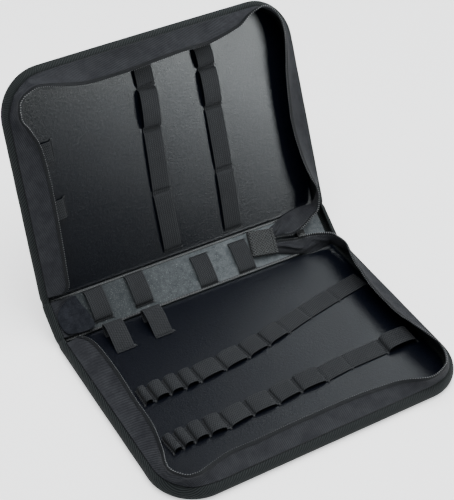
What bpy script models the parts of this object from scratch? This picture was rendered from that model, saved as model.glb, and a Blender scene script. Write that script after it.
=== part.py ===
"""Zip-round tool wallet lying open: base flat, spine rising, lid leaning back.

Metres, +Z up. X runs along the spine, +Y towards the lid, and the origin is the
centre of the base half's underside.
"""
import math

import bmesh
import bpy
from mathutils import Vector

# Wallet opened out: two halves joined by a spine
WIDTH = 0.344
HALF_DEPTH = 0.2406
SPINE = 0.0488
CORNER = 0.0472
COVER = 0.0022
RIM_HEIGHT = 0.014
RIM_LIP = 0.0066
SEAM_LAP = 0.0008

# How it lies open: angles from the floor
SPINE_TILT = math.radians(35.5)
LID_TILT = math.radians(65.95)
LID_TWIST = math.radians(-3.9)
FOLD_RADIUS = 0.020

# Linings
CLEARANCE = 0.0003
BOARD = 0.0018
BOARD_INSET = 0.009
BOARD_TO_FOLD = 0.0015
FELT = 0.0025
FELT_INSET = 0.010
FELT_TO_FOLD = 0.0005

# Side bands and their zip
BAND_WIDTH = 0.026
BAND_CLOTH = 0.0012
BAND_CROWN = 0.0012
ZIP_TAPE = 0.0030
ZIP_THICK = 0.0015
SLIDER_LENGTH = 0.010
SLIDER_WIDTH = 0.0075
SLIDER_PLATE = 0.0016
SLIDER_GAP = 0.0019
SLIDER_TAPER = 0.8
SLIDER_POST = 0.0016
SLIDER_POST_WIDTH = 0.0012
SLIDER_POST_INSET = 0.0010
# Its middle, as shares of half the width, of the spine and of the band's width
SLIDER_PLACE = {"x": 0.735, "v": 0.45, "n": 0.54}

# Elastic loops and straps
ELASTIC = 0.0205
ELASTIC_THICK = 0.0010
LOOP_HEIGHT = 0.009
TAB_HEIGHT = 0.0125
FOOT = 0.0022

# Webbing tab over the zip's end
TAB_LENGTH = 0.030
TAB_WIDTH = 0.028
TAB_THICK = 0.0012
TAB_TURN = math.radians(-10)
# Its middle, as shares of half the width and of the spine
TAB_PLACE = {"x": 0.4814, "v": 0.5697}

# Felt facing at the spine's left end
FACING = 0.0020
FACING_OUTER = 0.0148
FACING_INNER = 0.0108
END_CLOTH_REACH = 0.027

# Mesh fineness
COLUMNS = 10
CORNER_STEPS = 6
ARCH_STEPS = 6

# Rolled rim: inset as shares of the lip, height as shares of the rim's height
RIM_SECTION = (
    {"inset": 0.76, "height": 0.00},
    {"inset": 0.22, "height": 0.14},
    {"inset": 0.00, "height": 0.47},
    {"inset": 0.18, "height": 0.79},
    {"inset": 0.56, "height": 0.97},
    {"inset": 1.00, "height": 1.00},
)

# Band sections. A section stands on one stretch of the rim, at a share of its
# length (corners: from the side round to the far edge). Its free edge lies
# inward by reach and up by rise, both shares of the band's width.
BASE_BAND = (
    {"on": "right", "at": 0.17, "reach": 0.35, "rise": 0.75},
    {"on": "right", "at": 0.29, "reach": 0.59, "rise": 0.62},
    {"on": "right", "at": 0.39, "reach": 0.69, "rise": 0.50},
    {"on": "right", "at": 0.54, "reach": 0.79, "rise": 0.42},
    {"on": "right", "at": 0.72, "reach": 0.79, "rise": 0.42},
    {"on": "right", "at": 0.90, "reach": 0.60, "rise": 0.58},
    {"on": "corner_right", "at": 0.00, "reach": 0.47, "rise": 0.64},
    {"on": "corner_right", "at": 0.20, "reach": 0.38, "rise": 0.66},
    {"on": "corner_right", "at": 0.46, "reach": 0.25, "rise": 0.68},
    {"on": "corner_right", "at": 0.73, "reach": 0.05, "rise": 0.68},
    {"on": "far", "at": 0.99, "reach": -0.07, "rise": 0.66},
    {"on": "far", "at": 0.94, "reach": 0.07, "rise": 0.64},
    {"on": "far", "at": 0.87, "reach": 0.49, "rise": 0.48},
    {"on": "far", "at": 0.79, "reach": 0.67, "rise": 0.38},
    {"on": "far", "at": 0.65, "reach": 0.79, "rise": 0.34},
    {"on": "far", "at": 0.50, "reach": 0.79, "rise": 0.35},
    {"on": "far", "at": 0.36, "reach": 0.78, "rise": 0.35},
    {"on": "far", "at": 0.22, "reach": 0.71, "rise": 0.40},
    {"on": "far", "at": 0.10, "reach": 0.69, "rise": 0.44},
    {"on": "far", "at": 0.02, "reach": 0.51, "rise": 0.48},
    {"on": "corner_left", "at": 0.74, "reach": 0.13, "rise": 0.64},
    {"on": "corner_left", "at": 0.53, "reach": -0.03, "rise": 0.65},
    {"on": "corner_left", "at": 0.30, "reach": 0.03, "rise": 0.65},
    {"on": "corner_left", "at": 0.08, "reach": 0.37, "rise": 0.60},
    {"on": "left", "at": 0.92, "reach": 0.63, "rise": 0.50},
    {"on": "left", "at": 0.78, "reach": 0.85, "rise": 0.36},
    {"on": "left", "at": 0.60, "reach": 0.89, "rise": 0.31},
    {"on": "left", "at": 0.42, "reach": 0.95, "rise": 0.32},
    {"on": "left", "at": 0.22, "reach": 0.92, "rise": 0.32},
    {"on": "left", "at": 0.12, "reach": 0.81, "rise": 0.26},
    {"on": "left", "at": 0.06, "reach": 0.55, "rise": 0.14},
)
LID_BAND = (
    {"on": "right", "at": 0.14, "reach": 0.45, "rise": 0.70},
    {"on": "right", "at": 0.22, "reach": 0.63, "rise": 0.60},
    {"on": "right", "at": 0.36, "reach": 0.80, "rise": 0.42},
    {"on": "right", "at": 0.54, "reach": 0.87, "rise": 0.30},
    {"on": "right", "at": 0.68, "reach": 0.83, "rise": 0.34},
    {"on": "right", "at": 0.84, "reach": 0.72, "rise": 0.42},
    {"on": "right", "at": 0.98, "reach": 0.55, "rise": 0.52},
    {"on": "corner_right", "at": 0.30, "reach": 0.42, "rise": 0.62},
    {"on": "corner_right", "at": 0.60, "reach": 0.18, "rise": 0.70},
    {"on": "corner_right", "at": 0.88, "reach": -0.07, "rise": 0.70},
    {"on": "far", "at": 0.96, "reach": 0.11, "rise": 0.68},
    {"on": "far", "at": 0.90, "reach": 0.47, "rise": 0.62},
    {"on": "far", "at": 0.82, "reach": 0.71, "rise": 0.47},
    {"on": "far", "at": 0.74, "reach": 0.87, "rise": 0.30},
    {"on": "far", "at": 0.62, "reach": 0.85, "rise": 0.32},
    {"on": "far", "at": 0.50, "reach": 0.90, "rise": 0.28},
    {"on": "far", "at": 0.38, "reach": 0.98, "rise": 0.18},
    {"on": "far", "at": 0.24, "reach": 0.97, "rise": 0.22},
    {"on": "far", "at": 0.15, "reach": 0.87, "rise": 0.37},
    {"on": "far", "at": 0.05, "reach": 0.61, "rise": 0.52},
    {"on": "corner_left", "at": 0.81, "reach": 0.29, "rise": 0.66},
    {"on": "corner_left", "at": 0.54, "reach": 0.05, "rise": 0.66},
    {"on": "corner_left", "at": 0.36, "reach": 0.02, "rise": 0.67},
    {"on": "corner_left", "at": 0.14, "reach": 0.23, "rise": 0.65},
    {"on": "left", "at": 0.97, "reach": 0.55, "rise": 0.56},
    {"on": "left", "at": 0.88, "reach": 0.85, "rise": 0.42},
    {"on": "left", "at": 0.76, "reach": 1.00, "rise": 0.27},
    {"on": "left", "at": 0.60, "reach": 1.03, "rise": 0.25},
    {"on": "left", "at": 0.44, "reach": 1.01, "rise": 0.25},
    {"on": "left", "at": 0.30, "reach": 0.97, "rise": 0.26},
    {"on": "left", "at": 0.18, "reach": 0.91, "rise": 0.30},
    {"on": "left", "at": 0.09, "reach": 0.87, "rise": 0.28},
    {"on": "left", "at": 0.05, "reach": 0.67, "rise": 0.18},
)

# Loose right-hand ends of the bands, over the spine's plane: x as shares of
# half the width, v of the spine, heights n of the band's width.
BASE_TAIL = (
    {"seam_x": 0.540, "seam_v": 0.27, "seam_n": 0.30, "zip_x": 0.540, "zip_v": 0.53, "zip_n": 0.34},
    {"seam_x": 0.615, "seam_v": 0.16, "seam_n": 0.27, "zip_x": 0.615, "zip_v": 0.50, "zip_n": 0.42},
    {"seam_x": 0.700, "seam_v": 0.05, "seam_n": 0.26, "zip_x": 0.690, "zip_v": 0.43, "zip_n": 0.54},
    {"seam_x": 0.795, "seam_v": -0.02, "seam_n": 0.28, "zip_x": 0.779, "zip_v": 0.41, "zip_n": 0.54},
    {"seam_x": 0.880, "seam_v": -0.01, "seam_n": 0.33, "zip_x": 0.858, "zip_v": 0.32, "zip_n": 0.77},
    {"seam_x": 0.930, "seam_v": -0.02, "seam_n": 0.50, "zip_x": 0.916, "zip_v": 0.18, "zip_n": 1.08},
)
LID_TAIL = (
    {"seam_x": 0.540, "seam_v": 0.80, "seam_n": 0.30, "zip_x": 0.540, "zip_v": 0.55, "zip_n": 0.34},
    {"seam_x": 0.615, "seam_v": 0.88, "seam_n": 0.27, "zip_x": 0.615, "zip_v": 0.53, "zip_n": 0.42},
    {"seam_x": 0.700, "seam_v": 1.00, "seam_n": 0.26, "zip_x": 0.690, "zip_v": 0.47, "zip_n": 0.54},
    {"seam_x": 0.790, "seam_v": 1.05, "seam_n": 0.30, "zip_x": 0.773, "zip_v": 0.54, "zip_n": 0.54},
    {"seam_x": 0.850, "seam_v": 1.05, "seam_n": 0.38, "zip_x": 0.842, "zip_v": 0.67, "zip_n": 0.77},
    {"seam_x": 0.925, "seam_v": 1.06, "seam_n": 0.46, "zip_x": 0.888, "zip_v": 0.81, "zip_n": 1.20},
)

# Elastic rows on the base. Each row of the table is a stitched foot: x as a share
# of half the width, deep as a share of the half's depth, and the height of the
# loop before the next foot as a share of the tallest loop.
BACK_ROW = (
    {"x": -0.773, "deep": 0.436, "loop": 0.95},
    {"x": -0.704, "deep": 0.437, "loop": 1.00},
    {"x": -0.602, "deep": 0.435, "loop": 0.95},
    {"x": -0.506, "deep": 0.436, "loop": 0.90},
    {"x": -0.408, "deep": 0.435, "loop": 0.68},
    {"x": -0.236, "deep": 0.425, "loop": 0.64},
    {"x": -0.067, "deep": 0.411, "loop": 0.60},
    {"x": 0.087, "deep": 0.392, "loop": 0.56},
    {"x": 0.251, "deep": 0.367, "loop": 0.10},
    {"x": 0.435, "deep": 0.335, "loop": 0.08},
    {"x": 0.678, "deep": 0.302, "loop": 0.08},
    {"x": 0.919, "deep": 0.272, "loop": 0.00},
)
FRONT_ROW = (
    {"x": -0.808, "deep": 0.710, "loop": 0.90},
    {"x": -0.736, "deep": 0.705, "loop": 0.95},
    {"x": -0.657, "deep": 0.701, "loop": 0.95},
    {"x": -0.556, "deep": 0.700, "loop": 0.90},
    {"x": -0.439, "deep": 0.705, "loop": 0.66},
    {"x": -0.272, "deep": 0.692, "loop": 0.64},
    {"x": -0.103, "deep": 0.690, "loop": 0.62},
    {"x": 0.063, "deep": 0.679, "loop": 0.60},
    {"x": 0.244, "deep": 0.679, "loop": 0.10},
    {"x": 0.431, "deep": 0.667, "loop": 0.08},
    {"x": 0.687, "deep": 0.666, "loop": 1.15},
    {"x": 0.906, "deep": 0.669, "loop": 0.00},
)

# Long straps on the lid, from near the spine up to the far edge
LID_STRAPS = {
    "lid_strap_left": (
        {"x": -0.099, "deep": 0.036, "loop": 0.34},
        {"x": -0.101, "deep": 0.312, "loop": 0.34},
        {"x": -0.083, "deep": 0.594, "loop": 1.05},
        {"x": -0.068, "deep": 0.777, "loop": 0.40},
        {"x": -0.074, "deep": 0.890, "loop": 0.00},
    ),
    "lid_strap_right": (
        {"x": 0.333, "deep": 0.033, "loop": 0.40},
        {"x": 0.349, "deep": 0.316, "loop": 0.36},
        {"x": 0.355, "deep": 0.603, "loop": 0.90},
        {"x": 0.359, "deep": 0.780, "loop": 0.85},
        {"x": 0.346, "deep": 0.885, "loop": 0.00},
    ),
}

# Short loops: centre x as a share of half the width, ends as shares of what they cross
SPINE_LOOPS = (
    {"x": -0.676, "start": 0.18, "end": 0.93, "loop": 0.84},
    {"x": -0.401, "start": 0.18, "end": 0.95, "loop": 0.92},
    {"x": 0.044, "start": 0.08, "end": 0.82, "loop": 0.55},
    {"x": 0.320, "start": 0.08, "end": 0.82, "loop": 0.58},
)
SIDE_LOOPS = (
    {"deep": 0.640, "end": -0.727, "start": -0.860, "loop": 0.55},
    {"deep": 0.387, "end": -0.721, "start": -0.860, "loop": 0.55},
)
TAB_LOOPS = ({"x": -0.660}, {"x": -0.403})
# A tab loop's profile from its sewn edge, over the top, to its far foot
TAB_PROFILE = (
    {"deep": 0.170, "rise": 0.00},
    {"deep": 0.156, "rise": 0.02},
    {"deep": 0.128, "rise": 0.33},
    {"deep": 0.092, "rise": 0.74},
    {"deep": 0.056, "rise": 0.99},
    {"deep": 0.034, "rise": 0.94},
    {"deep": 0.024, "rise": 0.70},
    {"deep": 0.032, "rise": 0.36},
    {"deep": 0.050, "rise": 0.05},
    {"deep": 0.064, "rise": 0.00},
)

# Felt facing's outline, spine-wise: v as a share of the spine, sides as shares of half the width
FACING_OUTLINE = (
    {"v": 0.03, "outer": -0.850, "inner": -0.800},
    {"v": 0.14, "outer": -0.925, "inner": -0.750},
    {"v": 0.28, "outer": -0.950, "inner": -0.750},
    {"v": 0.46, "outer": -0.955, "inner": -0.758},
    {"v": 0.64, "outer": -0.938, "inner": -0.778},
    {"v": 0.79, "outer": -0.885, "inner": -0.790},
    {"v": 0.87, "outer": -0.820, "inner": -0.796},
)

# Heights that follow from the layers
LINING_FLOOR = COVER + CLEARANCE
BOARD_TOP = LINING_FLOOR + BOARD
FELT_TOP = LINING_FLOOR + FELT
SEAM_INSET = RIM_LIP - SEAM_LAP
SEAM_HEIGHT = RIM_HEIGHT + CLEARANCE + BAND_CLOTH / 2

# Colours: base colour, roughness
COLOURS = {
    "twill": ((0.030, 0.034, 0.036), 0.80),
    "cloth": ((0.045, 0.047, 0.052), 0.75),
    "board": ((0.012, 0.014, 0.017), 0.42),
    "felt": ((0.200, 0.230, 0.230), 0.95),
    "facing": ((0.090, 0.100, 0.112), 0.95),
    "elastic": ((0.042, 0.045, 0.048), 0.70),
    "webbing": ((0.060, 0.064, 0.066), 0.70),
    "zip": ((0.120, 0.125, 0.130), 0.55),
    "slider": ((0.015, 0.015, 0.017), 0.35),
}


def clear_scene():
    for item in list(bpy.data.objects):
        bpy.data.objects.remove(item)


def lid_angle(x):
    return LID_TILT + LID_TWIST * x / (WIDTH / 2)


def spine_frame():
    """Start, direction and normal of the spine in the plane across X."""
    along = Vector((0, math.cos(SPINE_TILT), math.sin(SPINE_TILT)))
    normal = Vector((0, -math.sin(SPINE_TILT), math.cos(SPINE_TILT)))
    return Vector((0, HALF_DEPTH / 2, 0)), along, normal


def on_spine(x, v, n):
    """Point over the spine's plane, v up from the base fold and n above it."""
    start, along, normal = spine_frame()
    return start + along * v + normal * n + Vector((x, 0, 0))


def turned(start, angle_in, angle_out, share, n):
    """Point n inside a rounded fold, at a share of its arc."""
    reach = FOLD_RADIUS * math.tan((angle_out - angle_in) / 2)
    first = start - Vector((0, math.cos(angle_in), math.sin(angle_in))) * reach
    centre = first + Vector((0, -math.sin(angle_in), math.cos(angle_in))) * FOLD_RADIUS
    angle = angle_in + (angle_out - angle_in) * share
    return centre - Vector((0, -math.sin(angle), math.cos(angle))) * (FOLD_RADIUS - n)


def fold(x, v, n):
    """Point n above the cover's outer face; v is measured from the base fold.

    v is negative on the base, 0 to SPINE on the spine and more on the lid.
    """
    base_fold, along, normal = spine_frame()
    lid_fold = base_fold + along * SPINE
    tilt = lid_angle(x)
    base_reach = FOLD_RADIUS * math.tan(SPINE_TILT / 2)
    lid_reach = FOLD_RADIUS * math.tan((tilt - SPINE_TILT) / 2)
    across = Vector((x, 0, 0))
    if v <= -base_reach:
        return base_fold + Vector((0, v, n)) + across
    if v < base_reach:
        return turned(base_fold, 0, SPINE_TILT, (v + base_reach) / (2 * base_reach), n) + across
    if v <= SPINE - lid_reach:
        return base_fold + along * v + normal * n + across
    if v < SPINE + lid_reach:
        share = (v - SPINE + lid_reach) / (2 * lid_reach)
        return turned(lid_fold, SPINE_TILT, tilt, share, n) + across
    lid_along = Vector((0, math.cos(tilt), math.sin(tilt)))
    lid_normal = Vector((0, -math.sin(tilt), math.cos(tilt)))
    return lid_fold + lid_along * (v - SPINE) + lid_normal * n + across


def on_half(half, x, deep, n):
    """Point on the base or lid, deep from its own fold line."""
    return fold(x, -deep if half == "base" else SPINE + deep, n)


def corner_rows(inset):
    """Rows round a half's far corners: distance from the fold and half width."""
    rows = []
    for step in range(1, CORNER_STEPS + 1):
        angle = math.pi / 2 * step / CORNER_STEPS
        deep = HALF_DEPTH - CORNER + (CORNER - inset) * math.sin(angle)
        rows.append((deep, WIDTH / 2 - CORNER + (CORNER - inset) * math.cos(angle)))
    return rows


def straight_rows(inset, start):
    """Rows over a half's straight sides from start to where its corners begin."""
    steps = 6
    first = FOLD_RADIUS * math.tan(SPINE_TILT / 2)
    depths = [start, (start + first) / 2]
    depths += [first + (HALF_DEPTH - CORNER - first) * i / steps for i in range(steps + 1)]
    return [(deep, WIDTH / 2 - inset) for deep in depths]


def whole_rows(inset):
    """Rows over the base, spine and lid, as v and half width."""
    half = WIDTH / 2 - inset
    base = straight_rows(inset, 0.0)[1:] + corner_rows(inset)
    lid = base
    rows = [(-deep, wide) for deep, wide in reversed(base)]
    rows += [(SPINE * share, half) for share in (0, 0.07, 0.14, 0.5, 0.86, 0.93, 1)]
    rows += [(SPINE + deep, wide) for deep, wide in lid]
    return rows


def spread(half_width):
    return [half_width * (2 * i / COLUMNS - 1) for i in range(COLUMNS + 1)]


def perimeter(rows):
    """Closed loop of (x, v) round a set of rows."""
    loop = [(x, rows[0][0]) for x in spread(rows[0][1])]
    loop += [(half, v) for v, half in rows[1:]]
    loop += [(x, rows[-1][0]) for x in reversed(spread(rows[-1][1])[:-1])]
    loop += [(-half, v) for v, half in reversed(rows[1:-1])]
    return loop


def make_material(name, finish):
    colour, roughness = COLOURS[finish]
    material = bpy.data.materials.new(name)
    material.use_nodes = True
    shader = material.node_tree.nodes["Principled BSDF"]
    shader.inputs["Base Color"].default_value = (*colour, 1)
    shader.inputs["Roughness"].default_value = roughness
    shader.inputs["Metallic"].default_value = 0.0
    material.diffuse_color = (*colour, 1)
    return material


def make_object(name, mesh, finish):
    mesh.materials.append(make_material(name, finish))
    mesh.shade_smooth()
    mesh.set_sharp_from_angle(angle=math.radians(40))
    item = bpy.data.objects.new(name, mesh)
    PARTS.objects.link(item)
    return item


def thicken(item, thickness, offset=0.0):
    """Solidify: offset 0 is centred, -1 grows to the back of the faces."""
    solid = item.modifiers.new("thickness", "SOLIDIFY")
    solid.thickness = thickness
    solid.offset = offset
    solid.use_even_offset = True
    solid.use_quality_normals = True
    return item


def sheet(name, rows, thickness, finish, offset=0.0):
    """Cloth or board from rows of points, each row as long as the next."""
    shape = bmesh.new()
    grid = [[shape.verts.new(point) for point in row] for row in rows]
    for low, high in zip(grid, grid[1:]):
        for i in range(len(low) - 1):
            shape.faces.new((low[i], low[i + 1], high[i + 1], high[i]))
    mesh = bpy.data.meshes.new(name)
    shape.to_mesh(mesh)
    shape.free()
    return thicken(make_object(name, mesh, finish), thickness, offset)


def smooth_run(points, steps=2):
    """Catmull-Rom curve through points, steps to each stretch."""
    ends = [points[0] * 2 - points[1]] + points + [points[-1] * 2 - points[-2]]
    run = []
    for i in range(1, len(ends) - 2):
        a, b, c, d = ends[i - 1:i + 3]
        for step in range(steps):
            t = step / steps
            run.append(0.5 * (2 * b + (c - a) * t + (2 * a - 5 * b + 4 * c - d) * t * t
                              + (3 * b - a - 3 * c + d) * t ** 3))
    return run + [points[-1]]


def build_cover():
    """One cloth cover, its edge rolled up and over into a rim all round."""
    shape = bmesh.new()
    first = whole_rows(RIM_SECTION[0]["inset"] * RIM_LIP)
    floor = [[shape.verts.new(fold(x, v, 0)) for x in spread(half)] for v, half in first]
    for low, high in zip(floor, floor[1:]):
        for i in range(COLUMNS):
            shape.faces.new((low[i], high[i], high[i + 1], low[i + 1]))
    edge = floor[0] + [row[-1] for row in floor[1:]] + floor[-1][-2::-1]
    edge += [row[0] for row in reversed(floor[1:-1])]
    for section in RIM_SECTION[1:]:
        loop = perimeter(whole_rows(section["inset"] * RIM_LIP))
        ring = [shape.verts.new(fold(x, v, section["height"] * RIM_HEIGHT)) for x, v in loop]
        for i in range(len(ring)):
            j = (i + 1) % len(ring)
            shape.faces.new((edge[i], edge[j], ring[j], ring[i]))
        edge = ring
    mesh = bpy.data.meshes.new("outer_cover")
    bmesh.ops.recalc_face_normals(shape, faces=shape.faces)
    lowest = min(shape.faces, key=lambda face: face.calc_center_median().z)
    if lowest.normal.z > 0:
        bmesh.ops.reverse_faces(shape, faces=shape.faces)
    shape.to_mesh(mesh)
    shape.free()
    thicken(make_object("outer_cover", mesh, "twill"), COVER, -1.0)


def build_boards():
    """Smooth boards lining the two halves, just inside the rim."""
    for half in ("base", "lid"):
        rows = straight_rows(BOARD_INSET, BOARD_TO_FOLD) + corner_rows(BOARD_INSET)
        height = LINING_FLOOR + BOARD / 2
        points = [[on_half(half, x, deep, height) for x in spread(wide)] for deep, wide in rows]
        sheet(half + "_board", points, BOARD, "board")


def build_spine_lining():
    """Felt over the whole spine."""
    half = WIDTH / 2 - FELT_INSET
    length = SPINE - 2 * FELT_TO_FOLD
    shares = (0, 0.07, 0.14, 0.5, 0.86, 0.93, 1)
    height = LINING_FLOOR + FELT / 2
    rows = [[fold(x, FELT_TO_FOLD + length * share, height) for x in spread(half)] for share in shares]
    sheet("spine_lining", rows, FELT, "felt")


def rim_place(on, at, inset):
    """x and depth of a point inside the rim, on a named stretch of a half."""
    straight = HALF_DEPTH - CORNER
    if on in ("left", "right"):
        side = -1 if on == "left" else 1
        return side * (WIDTH / 2 - inset), straight * at
    if on == "far":
        return (WIDTH - 2 * CORNER) * (at - 0.5), HALF_DEPTH - inset
    side = -1 if on == "corner_left" else 1
    angle = math.pi / 2 * at
    x = side * (WIDTH / 2 - CORNER + (CORNER - inset) * math.cos(angle))
    return x, straight + (CORNER - inset) * math.sin(angle)


def band_edges(half, sections, tail):
    """Seam edge and free edge of a side band, from the zip's end round to the left."""
    seam = []
    free = []
    for row in tail:
        seam.append(on_spine(row["seam_x"] * WIDTH / 2, row["seam_v"] * SPINE, row["seam_n"] * BAND_WIDTH))
        free.append(on_spine(row["zip_x"] * WIDTH / 2, row["zip_v"] * SPINE, row["zip_n"] * BAND_WIDTH))
    for row in sections:
        x, deep = rim_place(row["on"], row["at"], SEAM_INSET)
        seam.append(on_half(half, x, deep, SEAM_HEIGHT))
        x, deep = rim_place(row["on"], row["at"], SEAM_INSET + row["reach"] * BAND_WIDTH)
        free.append(on_half(half, x, deep, SEAM_HEIGHT + row["rise"] * BAND_WIDTH))
    return smooth_run(seam), smooth_run(free)


def build_band(half, sections, tail):
    """Crowned cloth band from the rim's seam, with a zip tape along its free edge."""
    seam, free = band_edges(half, sections, tail)
    cloth = []
    tape = []
    crown_side = 1 if half == "base" else -1
    last = len(seam) - 1
    for i, (low, high) in enumerate(zip(seam, free)):
        across = high - low
        along = seam[min(i + 1, last)] - seam[max(i - 1, 0)]
        outward = along.cross(across).normalized() * crown_side
        cloth_end = 1 - (ZIP_TAPE + CLEARANCE) / across.length
        row = []
        for share in (0, 1 / 3, 2 / 3, 1):
            row.append(low + across * share * cloth_end + outward * BAND_CROWN * 4 * share * (1 - share))
        cloth.append(row)
        tape.append((high - across.normalized() * ZIP_TAPE, high))
    sheet(half + "_band", cloth, BAND_CLOTH, "cloth")
    sheet(half + "_zip", tape, ZIP_THICK, "zip")


def arch(start, end, height):
    """Shares and heights of one loop between two stitched feet."""
    points = [(0.0, 0.0)]
    span = end - start
    flat = min(FOOT / span.length, 0.2)
    for step in range(ARCH_STEPS + 1):
        angle = math.pi * step / ARCH_STEPS
        rise = height * math.sin(angle) ** 0.75 if 0 < step < ARCH_STEPS else 0.0
        points.append((flat + (1 - 2 * flat) * (1 - math.cos(angle)) / 2, rise))
    return points


def strap(name, feet, place, floor):
    """Elastic sewn down at its feet, arching up between them.

    feet holds in-plane positions and loop heights; place turns an in-plane
    position and a height into a point.
    """
    level = floor + CLEARANCE + ELASTIC_THICK / 2
    path = []
    for (start, height), (end, _) in zip(feet, feet[1:]):
        path += [(start + (end - start) * share, rise) for share, rise in arch(start, end, height)]
    path.append((feet[-1][0], 0.0))
    rows = []
    last = len(path) - 1
    for i, (point, rise) in enumerate(path):
        along = (path[min(i + 1, last)][0] - path[max(i - 1, 0)][0]).normalized()
        side = Vector((-along.y, along.x)) * ELASTIC / 2
        rows.append([place(point + side * end, level + rise) for end in (-1, 1)])
    sheet(name, rows, ELASTIC_THICK, "elastic")


def half_feet(table):
    return [(Vector((row["x"] * WIDTH / 2, row["deep"] * HALF_DEPTH)), row["loop"] * LOOP_HEIGHT)
            for row in table]


def build_elastics():
    def on_base(point, n):
        return on_half("base", point.x, point.y, n)

    def on_lid(point, n):
        return on_half("lid", point.x, point.y, n)

    def over_spine(point, n):
        return fold(point.x, point.y, n)

    strap("base_loops_back", half_feet(BACK_ROW), on_base, BOARD_TOP)
    strap("base_loops_front", half_feet(FRONT_ROW), on_base, BOARD_TOP)
    for name, table in LID_STRAPS.items():
        strap(name, half_feet(table), on_lid, BOARD_TOP)
    for number, row in enumerate(SIDE_LOOPS, 1):
        ends = [Vector((row[end] * WIDTH / 2, row["deep"] * HALF_DEPTH)) for end in ("end", "start")]
        feet = [(ends[0], row["loop"] * LOOP_HEIGHT), (ends[1], 0.0)]
        strap(f"lid_side_loop_{number}", feet, on_lid, BOARD_TOP)
    for number, row in enumerate(SPINE_LOOPS, 1):
        ends = [Vector((row["x"] * WIDTH / 2, row[end] * SPINE)) for end in ("start", "end")]
        feet = [(ends[0], row["loop"] * LOOP_HEIGHT), (ends[1], 0.0)]
        strap(f"spine_loop_{number}", feet, over_spine, FELT_TOP)
    level = BOARD_TOP + CLEARANCE + ELASTIC_THICK / 2
    for number, row in enumerate(TAB_LOOPS, 1):
        centre = row["x"] * WIDTH / 2
        sides = (centre - ELASTIC / 2, centre + ELASTIC / 2)
        rows = [[on_half("base", x, point["deep"] * HALF_DEPTH, level + point["rise"] * TAB_HEIGHT)
                 for x in sides] for point in TAB_PROFILE]
        sheet(f"tab_loop_{number}", rows, ELASTIC_THICK, "elastic")


def build_zip_end():
    """Webbing folded over the end of the closed zip, lying on the spine."""
    bottom = FELT_TOP + CLEARANCE + TAB_THICK / 2
    top = 0.37 * BAND_WIDTH + BAND_CLOTH + TAB_THICK / 2 + CLEARANCE
    middle = (bottom + top) / 2
    bulge = (top - bottom) / 2
    half = TAB_LENGTH / 2
    centre_x = TAB_PLACE["x"] * WIDTH / 2
    centre_v = TAB_PLACE["v"] * SPINE
    path = [(half, bottom), (-half + bulge, bottom), (-half + 0.3 * bulge, bottom + 0.3 * bulge)]
    path += [(-half, middle), (-half + 0.3 * bulge, top - 0.3 * bulge), (-half + bulge, top), (half, top)]
    rows = []
    for along, n in path:
        row = []
        for side in (-TAB_WIDTH / 2, TAB_WIDTH / 2):
            x = centre_x + along * math.cos(TAB_TURN) - side * math.sin(TAB_TURN)
            v = centre_v + along * math.sin(TAB_TURN) + side * math.cos(TAB_TURN)
            row.append(on_spine(x, v, n))
        rows.append(row)
    sheet("zip_end_tab", rows, TAB_THICK, "webbing")


def build_slider():
    """Zip slider: two plates either side of the teeth, joined by a post."""
    shape = bmesh.new()
    for side in (1, -1):
        block = bmesh.ops.create_cube(shape, size=1.0)
        for vert in block["verts"]:
            taper = SLIDER_TAPER if vert.co.x < 0 else 1.0
            vert.co.x *= SLIDER_LENGTH
            vert.co.y *= SLIDER_WIDTH * taper
            vert.co.z = vert.co.z * SLIDER_PLATE + side * (SLIDER_GAP + SLIDER_PLATE / 2)
    mesh = bpy.data.meshes.new("zip_slider")
    shape.to_mesh(mesh)
    shape.free()
    item = make_object("zip_slider", mesh, "slider")
    post_mesh = bpy.data.meshes.new("slider_post")
    shape = bmesh.new()
    block = bmesh.ops.create_cube(shape, size=1.0)
    for vert in block["verts"]:
        vert.co.x = vert.co.x * SLIDER_POST + SLIDER_LENGTH / 2 - SLIDER_POST_INSET
        vert.co.y *= SLIDER_POST_WIDTH
        vert.co.z *= 2 * SLIDER_GAP + SLIDER_PLATE
    shape.to_mesh(post_mesh)
    shape.free()
    post = bpy.data.objects.new("slider_post", post_mesh)
    post.hide_render = True
    post.display_type = "WIRE"
    GUIDES.objects.link(post)
    join = item.modifiers.new("post", "BOOLEAN")
    join.operation = "UNION"
    join.object = post
    join.solver = "EXACT"
    place = on_spine(SLIDER_PLACE["x"] * WIDTH / 2, SLIDER_PLACE["v"] * SPINE, SLIDER_PLACE["n"] * BAND_WIDTH)
    for piece in (item, post):
        piece.location = place
        piece.rotation_euler = (SPINE_TILT, 0, 0)


def build_spine_end():
    """Cloth wall at the spine's left end and the felt facing over it."""
    outer = -(WIDTH / 2 - RIM_LIP - 2 * CLEARANCE)
    rows = []
    for row in FACING_OUTLINE:
        points = []
        for share in (0, 0.33, 0.67, 1):
            x = WIDTH / 2 * (row["outer"] + (row["inner"] - row["outer"]) * share)
            slope = (x - outer) / END_CLOTH_REACH
            height = FACING_OUTER + (FACING_INNER - FACING_OUTER) * slope
            points.append(fold(x, row["v"] * SPINE, height))
        rows.append(points)
    sheet("spine_end_facing", rows, FACING, "facing")
    drop = FACING / 2 + BAND_CLOTH / 2 + 2 * CLEARANCE
    rows = []
    for v_share in (0.06, 0.2, 0.5, 0.8, 0.94):
        points = []
        for slope in (0, 0.33, 0.67, 1):
            x = outer + END_CLOTH_REACH * slope
            height = FACING_OUTER + (FACING_INNER - FACING_OUTER) * slope - drop
            points.append(fold(x, v_share * SPINE, height))
        rows.append(points)
    sheet("spine_end_gusset", rows, BAND_CLOTH, "cloth")


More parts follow.
